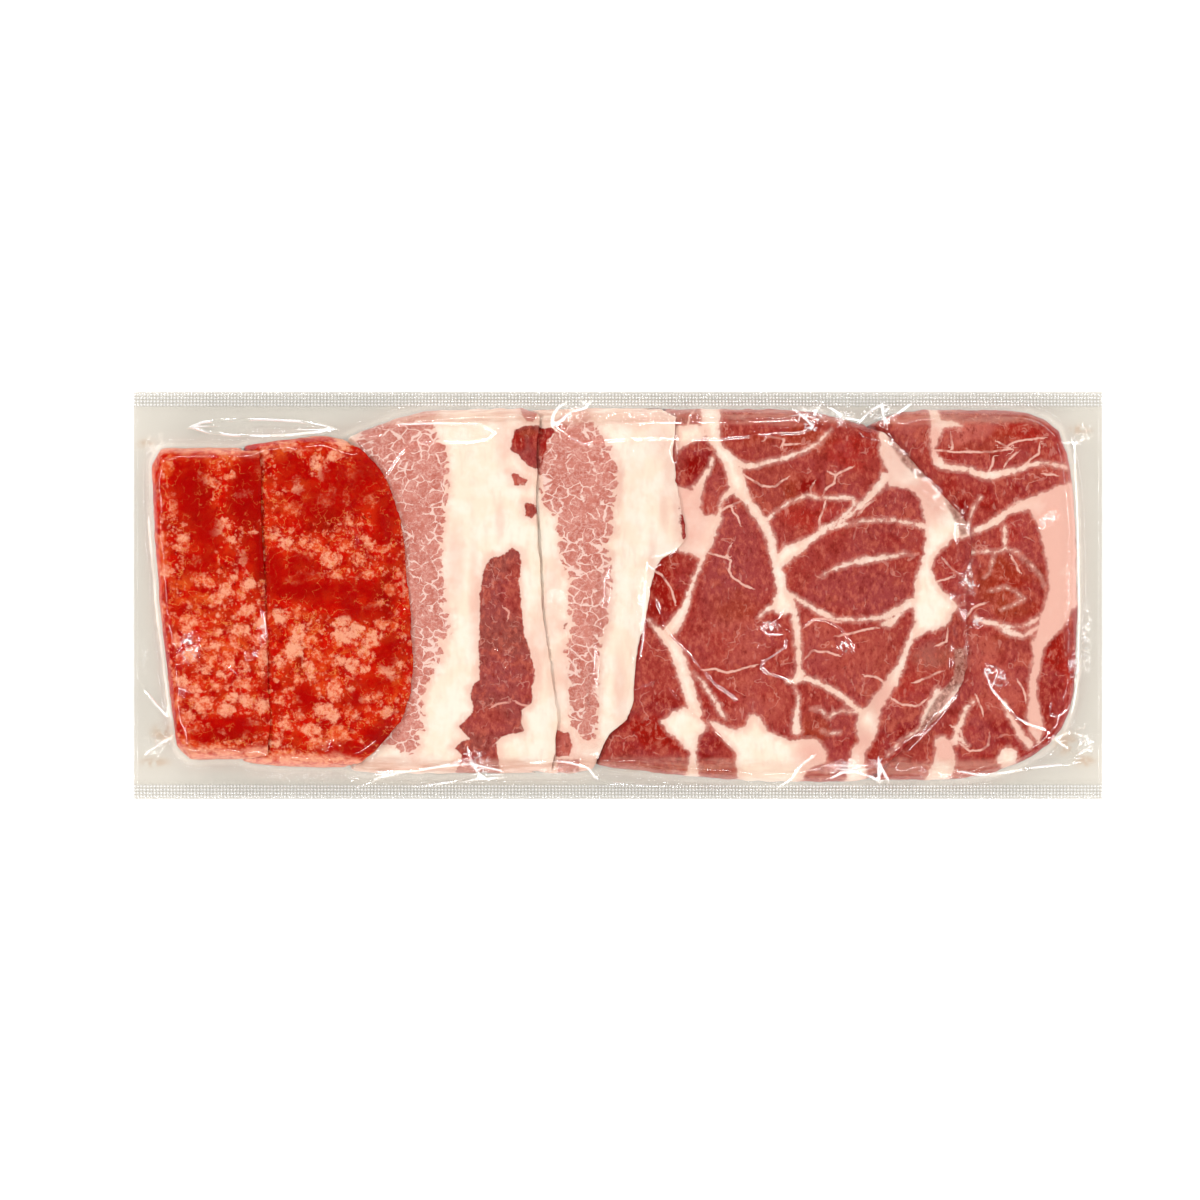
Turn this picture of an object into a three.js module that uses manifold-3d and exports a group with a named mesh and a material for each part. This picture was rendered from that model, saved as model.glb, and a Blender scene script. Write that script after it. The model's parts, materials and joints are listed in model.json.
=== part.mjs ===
// Vacuum pack of sliced pork for the barbecue, lying flat on its base web.
// Units are millimetres. +X runs along the pack, +Y across it and +Z up; the origin is the underside's middle.
// Six slices lie in one row like roof tiles: each one's right edge rests on its neighbour to the right.
// Two webs of clear film close them in: a flat base web, and a cover web drawn down over the meat,
// sealed to the base web all the way round.
import * as THREE from 'three';
import { mergeVertices } from 'three/addons/utils/BufferGeometryUtils.js';
import Module from 'manifold-3d';

const wasm = await Module();
wasm.setup();

// ---- Driving dimensions ----
const PACK_LENGTH = 290;
const PACK_WIDTH = 122;
const FILM_THICKNESS = 0.4;
const SEAL_WIDTH = 3; // flat seal band round the pack
const CLEARANCE = 0.35; // between neighbouring solids
const COVER_CLEARANCE = 0.7; // between the slices' tops and the cover web

const SPICED_THICKNESS = 11;
const BELLY_THICKNESS = 10.5;
const COLLAR_THICKNESS = 10.5;
const OVERLAP_THICKNESS = 4; // what is left of a slice's edge where it lies pressed on its neighbour
const RIM_WIDTH = 6; // how far in from its edge a slice reaches full height
const TUCKED_RIM_WIDTH = 16; // the same along the left edge, pressed thin under a neighbour
const RIM_SHARE = 0.32; // a slice's height at its very edge, as a share of its thickness
const SURFACE_RELIEF = 0.35; // gentle unevenness of the cut faces
const BLEND = 3; // how softly a slice's top rises over its neighbour

const MEAT_BOTTOM = FILM_THICKNESS + CLEARANCE;
const OUTLINE_STEP = 6; // distance between points along a slice's outline
const EDGE_RINGS = [0.05, 1, 3]; // distances of the outer rings of a slice's top from its edge
const INNER_RINGS = [0.78, 0.56, 0.34, 0.14]; // sizes of its inner rings, as shares of the ring at RIM_WIDTH
const COVER_STEP = 7; // cell size of the cover web
const COVER_EDGE_LINES = [0, SEAL_WIDTH, SEAL_WIDTH + 2, SEAL_WIDTH + 5]; // its finer lines along each edge
const SEAL_LINES = 2; // how many of those lie in the flat seal band
const COVER_SPREAD = 1; // how far past a slice's edge the cover web stays raised
const COVER_PASSES = 80; // enough for the cover web to settle
const VACUUM_PULL = 0.5; // how far below the mean of its neighbours a free point of the cover web sinks
const SAMPLES_PER_CELL = 6; // how finely a cell's clearance is tested, along each side

// ---- Slices, from the lowest in the pile to the highest ----
// A corner is [x, y, cut]: the outline leaves its straight side `cut` millimetres before the corner, or halfway
// along a short side, and rounds the corner off.
const SLICES = [
  {
    name: 'collar_slice_right',
    thickness: COLLAR_THICKNESS,
    tucked: true,
    colour: 0xa8423f,
    corners: [
      [72, 50, 5], [84, 55.3, 9], [130, 55.3, 18], [135.5, 36, 12], [137, 0, 25], [136, -32, 9],
      [129.5, -45, 9], [108, -55, 14], [72, -55, 6],
    ],
  },
  {
    name: 'collar_slice_left',
    thickness: COLLAR_THICKNESS,
    tucked: true,
    on: 'collar_slice_right',
    colour: 0xad4844,
    corners: [
      [6, 55.5, 5], [56, 55.5, 9], [79.5, 49.5, 8], [90, 35, 9], [104.5, 19.5, 6], [101.5, -2, 12],
      [103, -25, 9], [90.5, -40, 9], [79.5, -50, 5], [75, -55.5, 5], [38, -55.5, 14], [-10, -50.5, 6],
      [-6, 8, 25],
    ],
  },
  {
    name: 'belly_slice_right',
    thickness: BELLY_THICKNESS,
    tucked: true,
    on: 'collar_slice_left',
    colour: 0xf0c9b6,
    corners: [
      [-31.5, 55.5, 6], [18, 56, 4], [15, 37.5, 9], [20, 15, 3], [9.5, 10, 5], [7.5, -4.5, 6],
      [3.5, -19, 7], [3.5, -35, 4], [-4.5, -42, 4], [-6, -53, 5], [-28, -53, 6],
    ],
  },
  {
    name: 'belly_slice_left',
    thickness: BELLY_THICKNESS,
    tucked: true,
    on: 'belly_slice_right',
    colour: 0xf3cfbc,
    corners: [
      [-82.5, 47, 5], [-59.5, 55, 7], [-22.5, 56, 4], [-25, 36, 12], [-23.5, -1, 18], [-18.5, -37, 9],
      [-18.5, -53, 4], [-82, -53, 7],
    ],
  },
  {
    name: 'spiced_slice_right',
    thickness: SPICED_THICKNESS,
    tucked: true,
    on: 'belly_slice_left',
    colour: 0xc2270f,
    corners: [
      [-114, 44.5, 5], [-79.5, 49, 12], [-65, 28.5, 18], [-61, -22.5, 14], [-63.5, -36, 9],
      [-76.5, -52, 9], [-114, -50, 5],
    ],
  },
  {
    name: 'spiced_slice_left',
    thickness: SPICED_THICKNESS,
    tucked: false,
    on: 'spiced_slice_right',
    colour: 0xb82410,
    corners: [
      [-139, 44, 5], [-106.5, 44, 2], [-105.5, 10.5, 20], [-103.2, -48.5, 3], [-131, -49, 5],
      [-137.5, 4.5, 30],
    ],
  },
];
const byName = new Map(SLICES.map((slice) => [slice.name, slice]));
const FILM_COLOUR = 0xdedbd3;

// ---- Outlines ----

// Closed outline through rounded corners, anticlockwise, with its points about OUTLINE_STEP apart.
function roundedOutline(corners) {
  const points = corners.map(([x, y]) => new THREE.Vector2(x, y));
  const path = new THREE.Path();
  points.forEach((corner, i) => {
    const before = points[(i + points.length - 1) % points.length];
    const after = points[(i + 1) % points.length];
    const cut = corners[i][2];
    const start = corner.clone().lerp(before, Math.min(cut / corner.distanceTo(before), 0.5));
    const end = corner.clone().lerp(after, Math.min(cut / corner.distanceTo(after), 0.5));
    if (i === 0) path.moveTo(start.x, start.y);
    else path.lineTo(start.x, start.y);
    path.quadraticCurveTo(corner.x, corner.y, end.x, end.y);
  });
  path.closePath();
  const count = Math.round(path.getLength() / OUTLINE_STEP);
  const outline = path.getSpacedPoints(count).slice(0, count);
  return THREE.ShapeUtils.area(outline) < 0 ? outline.reverse() : outline;
}

// Outward unit normals of an anticlockwise outline, one for each point.
function outwardNormals(outline) {
  return outline.map((_, i) => {
    const before = outline[(i + outline.length - 1) % outline.length];
    const after = outline[(i + 1) % outline.length];
    return new THREE.Vector2(after.y - before.y, before.x - after.x).normalize();
  });
}

// Distance from a point to the outline: positive inside it, negative outside.
function insideDistance(outline, x, y) {
  let nearest = Infinity;
  let inside = false;
  for (let i = 0, j = outline.length - 1; i < outline.length; j = i++) {
    const a = outline[j];
    const b = outline[i];
    const dx = b.x - a.x;
    const dy = b.y - a.y;
    const along = THREE.MathUtils.clamp(((x - a.x) * dx + (y - a.y) * dy) / (dx * dx + dy * dy), 0, 1);
    nearest = Math.min(nearest, Math.hypot(x - a.x - along * dx, y - a.y - along * dy));
    if (a.y > y !== b.y > y && x < a.x + (dx * (y - a.y)) / dy) inside = !inside;
  }
  return inside ? nearest : -nearest;
}

// ---- Heights ----

// Rounded rise from RIM_SHARE at a slice's edge to 1 at full height.
function rimRise(distance, width) {
  const u = THREE.MathUtils.clamp(distance / width, 0, 1);
  return RIM_SHARE + (1 - RIM_SHARE) * Math.sqrt(1 - (1 - u) ** 2);
}

// The larger of two heights, blended where they differ by less than BLEND.
function smoothMax(a, b) {
  const closeness = Math.max(0, 1 - Math.abs(a - b) / BLEND);
  return Math.max(a, b) + (BLEND * closeness ** 2) / 4;
}

function surfaceRelief(x, y) {
  const across = Math.sin(x * 0.21 + 1.3 * Math.sin(y * 0.09));
  const along = Math.cos(y * 0.17 - 0.6 * Math.sin(x * 0.11));
  return SURFACE_RELIEF * across * along;
}

// Height of a slice's top above the base web's meat side. A slice keeps its own thickness,
// and is raised where its neighbour lies under it. `spread` widens the slices on all sides.
function topHeight(slice, x, y, spread = 0) {
  const distance = insideDistance(slice.outline, x, y) + spread;
  const tuckedEnd = slice.left + 2 * TUCKED_RIM_WIDTH;
  const free = slice.tucked ? THREE.MathUtils.smoothstep(x, slice.left, tuckedEnd) : 1;
  const width = THREE.MathUtils.lerp(TUCKED_RIM_WIDTH, RIM_WIDTH, free);
  const own = slice.thickness * rimRise(distance, width) + surfaceRelief(x, y);
  const under = slice.on && byName.get(slice.on);
  if (!under || insideDistance(under.outline, x, y) + spread < 0) return own;
  const layer = OVERLAP_THICKNESS * rimRise(distance, RIM_WIDTH);
  return smoothMax(own, topHeight(under, x, y, spread) + CLEARANCE + layer);
}

// ---- Solids ----

// A closed solid from rings of points, lowest ring first, closed by a fan to a point below and by one above.
function ringSolid(rings, lowest, highest) {
  const count = rings[0].length;
  const vertices = rings.flat().concat([lowest, highest]);
  const faces = [];
  for (let ring = 0; ring + 1 < rings.length; ring++) {
    for (let i = 0; i < count; i++) {
      const a = ring * count + i;
      const b = ring * count + ((i + 1) % count);
      faces.push([a, b, b + count], [a, b + count, a + count]);
    }
  }
  const last = (rings.length - 1) * count;
  for (let i = 0; i < count; i++) {
    const next = (i + 1) % count;
    faces.push([next, i, vertices.length - 2], [last + i, last + next, vertices.length - 1]);
  }
  return new wasm.Manifold(
    new wasm.Mesh({
      numProp: 3,
      vertProperties: Float32Array.from(vertices.flatMap((v) => v.toArray())),
      triVerts: Uint32Array.from(faces.flat()),
    }),
  );
}

// A slice as a solid on a flat floor. `grow` makes the larger copy that cuts a clearance into its neighbour.
// The rings of its top start close to the edge and close in on the middle.
function sliceSolid(slice, grow = 0) {
  const { outline } = slice;
  const normals = outwardNormals(outline);
  const middle = outline.reduce((sum, p) => sum.add(p), new THREE.Vector2()).divideScalar(outline.length);
  const nearEdge = (depth) => outline.map((p) => p.clone().lerp(middle, depth / p.distanceTo(middle)));
  const inner = nearEdge(RIM_WIDTH);
  const closedIn = (share) => inner.map((p) => middle.clone().lerp(p, share));
  const spread = (p, i) => p.clone().addScaledVector(normals[i], grow);
  const ringAt = (points, height) =>
    points.map((p, i) => new THREE.Vector3(spread(p, i).x, spread(p, i).y, height(p)));
  const top = (p) => MEAT_BOTTOM + topHeight(slice, p.x, p.y) + grow;
  const floor = () => MEAT_BOTTOM - grow;
  const tops = [...EDGE_RINGS.map(nearEdge), inner, ...INNER_RINGS.map(closedIn)];
  const rings = [ringAt(outline, floor), ...tops.map((points) => ringAt(points, top))];
  const at = (height) => new THREE.Vector3(middle.x, middle.y, height(middle));
  return ringSolid(rings, at(floor), at(top));
}

// The base web: a flat sheet of film.
function baseWeb() {
  const sheet = new THREE.BoxGeometry(PACK_LENGTH, PACK_WIDTH, FILM_THICKNESS);
  sheet.translate(0, 0, FILM_THICKNESS / 2);
  return sheet;
}

// Grid lines across one side of the pack: fine ones at each end, and even cells between.
function gridLines(size) {
  const ends = COVER_EDGE_LINES.map((offset) => size / 2 - offset);
  const inner = ends[ends.length - 1];
  const cells = Math.round((2 * inner) / COVER_STEP);
  const between = Array.from({ length: cells - 1 }, (_, i) => -inner + (2 * inner * (i + 1)) / cells);
  return [...ends.map((end) => -end), ...between, ...ends.reverse()];
}

// The cover web: a sheet drawn taut over the slices. Each pass pulls every point to a little below the mean
// of its neighbours, and then lifts the corners of each cell until the cell clears what lies under it.
function coverWeb() {
  const xs = gridLines(PACK_LENGTH);
  const ys = gridLines(PACK_WIDTH);
  const flat = FILM_THICKNESS + CLEARANCE;
  const neededAt = (x, y) => {
    const here = SLICES.filter((slice) => insideDistance(slice.outline, x, y) > -COVER_SPREAD);
    const tops = here.map((slice) => topHeight(slice, x, y, COVER_SPREAD));
    return tops.length ? MEAT_BOTTOM + Math.max(...tops) + COVER_CLEARANCE : flat;
  };
  const heights = ys.map((y) => xs.map((x) => neededAt(x, y)));
  const samples = cellSamples(xs, ys, neededAt);
  const isInside = (i, lines) => i >= SEAL_LINES && i < lines.length - SEAL_LINES;
  const isFree = ([row, column]) => isInside(row, ys) && isInside(column, xs);
  for (let pass = 0; pass < COVER_PASSES; pass++) {
    for (let row = SEAL_LINES; isInside(row, ys); row++) {
      for (let column = SEAL_LINES; isInside(column, xs); column++) {
        const across = heights[row][column - 1] + heights[row][column + 1];
        const along = heights[row - 1][column] + heights[row + 1][column];
        heights[row][column] = Math.max(flat, (across + along) / 4 - VACUUM_PULL);
      }
    }
    for (const { corners, height } of samples) {
      const reached = corners.reduce((sum, [row, column, share]) => sum + share * heights[row][column], 0);
      const lack = height - reached;
      if (lack <= 0) continue;
      const movable = corners.filter(isFree);
      const total = movable.reduce((sum, [, , share]) => sum + share * share, 0);
      for (const [row, column, share] of movable) heights[row][column] += (lack * share) / total;
    }
  }
  return sheetSolid(xs, ys, heights);
}

// Points spread over every grid cell, each with the height needed there and the three corners of the cell's
// half that holds it, with their shares in its height.
function cellSamples(xs, ys, neededAt) {
  const samples = [];
  const steps = SAMPLES_PER_CELL;
  for (let row = 0; row + 1 < ys.length; row++) {
    for (let column = 0; column + 1 < xs.length; column++) {
      for (let k = 0; k < (steps + 1) ** 2; k++) {
        const u = (k % (steps + 1)) / steps;
        const v = Math.floor(k / (steps + 1)) / steps;
        const x = THREE.MathUtils.lerp(xs[column], xs[column + 1], u);
        const y = THREE.MathUtils.lerp(ys[row], ys[row + 1], v);
        const near = [row, column, 1 - Math.max(u, v)];
        const far = [row + 1, column + 1, Math.min(u, v)];
        const side = u > v ? [row, column + 1, u - v] : [row + 1, column, v - u];
        samples.push({ corners: [near, side, far], height: neededAt(x, y) });
      }
    }
  }
  return samples;
}

// A closed sheet of film whose underside has the given heights on a grid.
function sheetSolid(xs, ys, heights) {
  const columns = xs.length;
  const half = columns * ys.length;
  const positions = [];
  for (const lift of [0, FILM_THICKNESS]) {
    ys.forEach((y, row) => xs.forEach((x, column) => positions.push(x, y, heights[row][column] + lift)));
  }
  const faces = [];
  for (let row = 0; row + 1 < ys.length; row++) {
    for (let column = 0; column + 1 < columns; column++) {
      const a = row * columns + column;
      const b = a + 1;
      const c = a + columns + 1;
      const d = a + columns;
      faces.push([a, c, b], [a, d, c], [a + half, b + half, c + half], [a + half, c + half, d + half]);
    }
  }
  const border = [];
  for (let column = 0; column + 1 < columns; column++) border.push(column);
  for (let row = 0; row + 1 < ys.length; row++) border.push(row * columns + columns - 1);
  for (let column = columns - 1; column > 0; column--) border.push((ys.length - 1) * columns + column);
  for (let row = ys.length - 1; row > 0; row--) border.push(row * columns);
  border.forEach((a, i) => {
    const b = border[(i + 1) % border.length];
    faces.push([a, b, b + half], [a, b + half, a + half]);
  });
  const geometry = new THREE.BufferGeometry();
  geometry.setAttribute('position', new THREE.Float32BufferAttribute(positions, 3));
  geometry.setIndex(faces.flat());
  geometry.computeVertexNormals();
  return geometry;
}

// three.js geometry from a manifold solid.
function geometryOf(solid) {
  const mesh = solid.getMesh();
  const geometry = new THREE.BufferGeometry();
  geometry.setAttribute('position', new THREE.BufferAttribute(mesh.vertProperties, 3));
  geometry.setIndex(new THREE.BufferAttribute(mesh.triVerts, 1));
  const merged = mergeVertices(geometry, 1e-4);
  merged.computeVertexNormals();
  return merged;
}

// ---- The pack ----

for (const slice of SLICES) {
  slice.outline = roundedOutline(slice.corners);
  slice.left = Math.min(...slice.outline.map((p) => p.x));
}

const meatLook = { roughness: 0.45, metalness: 0 };
const filmLook = { color: FILM_COLOUR, roughness: 0.15, metalness: 0, transparent: true, opacity: 0.3 };

function namedMesh(name, geometry, look) {
  const mesh = new THREE.Mesh(geometry, new THREE.MeshStandardMaterial(look));
  mesh.name = name;
  return mesh;
}

const contents = new THREE.Group();
for (const slice of SLICES) {
  const under = slice.on && byName.get(slice.on);
  const whole = sliceSolid(slice);
  const solid = under ? whole.subtract(sliceSolid(under, CLEARANCE)) : whole;
  contents.add(namedMesh(slice.name, geometryOf(solid), { ...meatLook, color: slice.colour }));
}

const pack = new THREE.Group();
pack.add(namedMesh('film_base_web', baseWeb(), filmLook));
pack.add(contents);
pack.add(namedMesh('film_cover_web', coverWeb(), filmLook));

export default pack;
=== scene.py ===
"""A clear vacuum pack of sliced pork for the grill: two spiced slices, two of belly and two of collar.

Lengths in the helpers are in millimetres, and Blender's meshes are in metres. Places on the meat and on the film are
given as (across, down) in a picture of 1200 by 1200, which spot() turns into millimetres on the table.
"""
import json
import math

import bpy
import numpy as np
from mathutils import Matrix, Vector
from bpy.props import FloatProperty, FloatVectorProperty, PointerProperty

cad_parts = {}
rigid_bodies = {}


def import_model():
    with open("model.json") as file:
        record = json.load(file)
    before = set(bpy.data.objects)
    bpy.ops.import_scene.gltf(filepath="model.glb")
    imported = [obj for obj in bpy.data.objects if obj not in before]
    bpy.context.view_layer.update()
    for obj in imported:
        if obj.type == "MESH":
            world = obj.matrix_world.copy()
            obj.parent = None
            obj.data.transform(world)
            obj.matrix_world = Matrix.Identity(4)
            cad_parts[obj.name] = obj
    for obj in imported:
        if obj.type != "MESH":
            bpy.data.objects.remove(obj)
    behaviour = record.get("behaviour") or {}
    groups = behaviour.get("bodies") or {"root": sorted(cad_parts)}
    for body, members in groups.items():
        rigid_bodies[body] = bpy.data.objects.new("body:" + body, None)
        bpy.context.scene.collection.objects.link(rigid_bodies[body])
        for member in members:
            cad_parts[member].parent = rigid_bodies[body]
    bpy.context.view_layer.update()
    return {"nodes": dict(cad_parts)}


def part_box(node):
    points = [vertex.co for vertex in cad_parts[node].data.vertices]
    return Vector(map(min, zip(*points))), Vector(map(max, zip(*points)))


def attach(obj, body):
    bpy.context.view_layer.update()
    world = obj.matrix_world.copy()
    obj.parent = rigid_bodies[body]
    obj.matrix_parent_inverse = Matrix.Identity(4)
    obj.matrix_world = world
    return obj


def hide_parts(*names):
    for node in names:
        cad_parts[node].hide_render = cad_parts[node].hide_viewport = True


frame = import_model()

bl_info = {
    "name": "Pork pack",
    "version": (1, 0, 0),
    "blender": (4, 5, 0),
    "location": "View3D > Sidebar > Pork pack",
    "description": "Builds a clear vacuum pack of sliced pork around its packed frame",
    "category": "Object",
}

MM = 0.001

# ---------------------------------------------------------------- the view that the places are given in
PICTURE_SIDE = 1200
VIEW_WIDTH = 358.8
CAMERA_HEIGHT = 1100.0
AIM = (-5.4, -1.35)
MEAT_HEIGHT = 12.0
FILM_HEIGHT = 8.0
PRESSED_ABOVE = (419, 427)
PRESSED_BELOW = (756, 764)
LIT_LEVEL = 1.27

# ---------------------------------------------------------------- the meshes, in millimetres
FINE_CELL = 0.6
COARSE_CELL = 1.2
ROW_CELL = 1.5
LAST_SLICE_END = 130.0
ROUND_CORNERS = (36.0, 44.0)
SIDE_BULGE = (1.0, 4.0)
FACE_LUMP, PORE_LUMP, PORE_DEPTH = 7.0, 2.0, 0.12
FRAY_LUMP, FRAY_DEPTH = 3.5, 0.45
SLICE_GAP = 0.15
LOWEST_FACE = 0.9
PRESS_REACH, MOST_PRESSED = 9.0, 0.55
FILL_REACH, FILL_SHARE = 7.0, 0.9
PIECE_REACH = 0.85
VEIN_WIDTH = 1.9
TONE_WANDER, TONE_SPREAD = 1.6, 1.15
MOST_OFFSET = 8
HALF_PACK = (145.0, 61.0)
MAP_LOW, MAP_HIGH = (-147.0, -63.0), (147.0, 63.0)
BASE_CELL, BASE_INSET, BASE_HEIGHT, BASE_RIPPLE = 2.5, 0.2, 0.14, 0.08
COVER_INSET, FLANGE_HEIGHT = 0.1, 0.42
CREASE_WIDTH, CREASE_RISE = 0.9, 0.2
CRUMPLE_LUMP, CRUMPLE_RISE = 5.0, 1.2
FAR_AWAY = 50.0
NOTHING = 1e3

# ---------------------------------------------------------------- the seal, in metres, and the bumps, in millimetres
SEAL_INNER = (0.0563, 0.0566)
SEAL_OUTER = (0.0607, 0.0604)
KNURL_DEPTH = 0.07
# painted shade: the film is tinted darker in the knurls' hollows
KNURL_HOLLOW_SHADE = (0.95, 0.95, 0.94)
# white of the painted highlights on sharp folds, crease crests and knurl tops
PAINTED_HIGHLIGHT_WHITE = (0.95, 0.95, 0.95)
FOLD_DEPTH = 8.0
RIPPLE_DEPTH = 0.3
RIDGE_DEPTH = 0.42

# ---------------------------------------------------------------- the stage, in metres and degrees
FLOOR_SIDE = 6.0
FLOOR_CLOUD = (0.8, 0.8, 0.78)
LAMP_COUNT = 8
LAMP_SIZE = (0.6, 0.055)
LAMP_LEANS = (61, 68)
FIRST_LAMP_TURN = 10
LAMP_BOUNCES = 2
SOFTBOX_SIDE = 1.5
SOFTBOX_BOUNCES = 3
SENSOR_WIDTH = 36


def spot(places, height=MEAT_HEIGHT):
    """Places in the picture, as millimetres on the table, for things that lie at that height."""
    places = np.asarray(places, float)
    scale = VIEW_WIDTH / PICTURE_SIDE * (1 - height / CAMERA_HEIGHT)
    return np.stack([AIM[0] + (places[..., 0] - PICTURE_SIDE / 2) * scale,
                     AIM[1] + (PICTURE_SIDE / 2 - places[..., 1]) * scale], -1)


PIXEL = VIEW_WIDTH / PICTURE_SIDE * (1 - MEAT_HEIGHT / CAMERA_HEIGHT)


def picture_row(points):
    """How far down the picture each point on the table lies."""
    return PICTURE_SIDE / 2 - (points[:, 1] - AIM[1]) / PIXEL


def dye(red, green, blue):
    """The linear reflectance that looks like this 0 to 255 shade once the studio light is on it."""
    shades = np.array([red, green, blue]) / 255
    linear = np.where(shades <= 0.04045, shades / 12.92, ((shades + 0.055) / 1.055) ** 2.4)
    return tuple(float(x) for x in np.minimum(linear / LIT_LEVEL, 0.92))


# ---------------------------------------------------------------- tissue shades
SHADE = {
    "collar": dye(164, 58, 50),
    "brown": dye(158, 58, 34),
    "mauve": dye(160, 70, 70),
    "red": dye(180, 42, 30),
    "deep": dye(158, 22, 10),
    "blood": dye(140, 6, 2),
    "rosy": dye(206, 108, 94),
    "grey": dye(178, 128, 112),
    "dark": dye(152, 74, 66),
}

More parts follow.
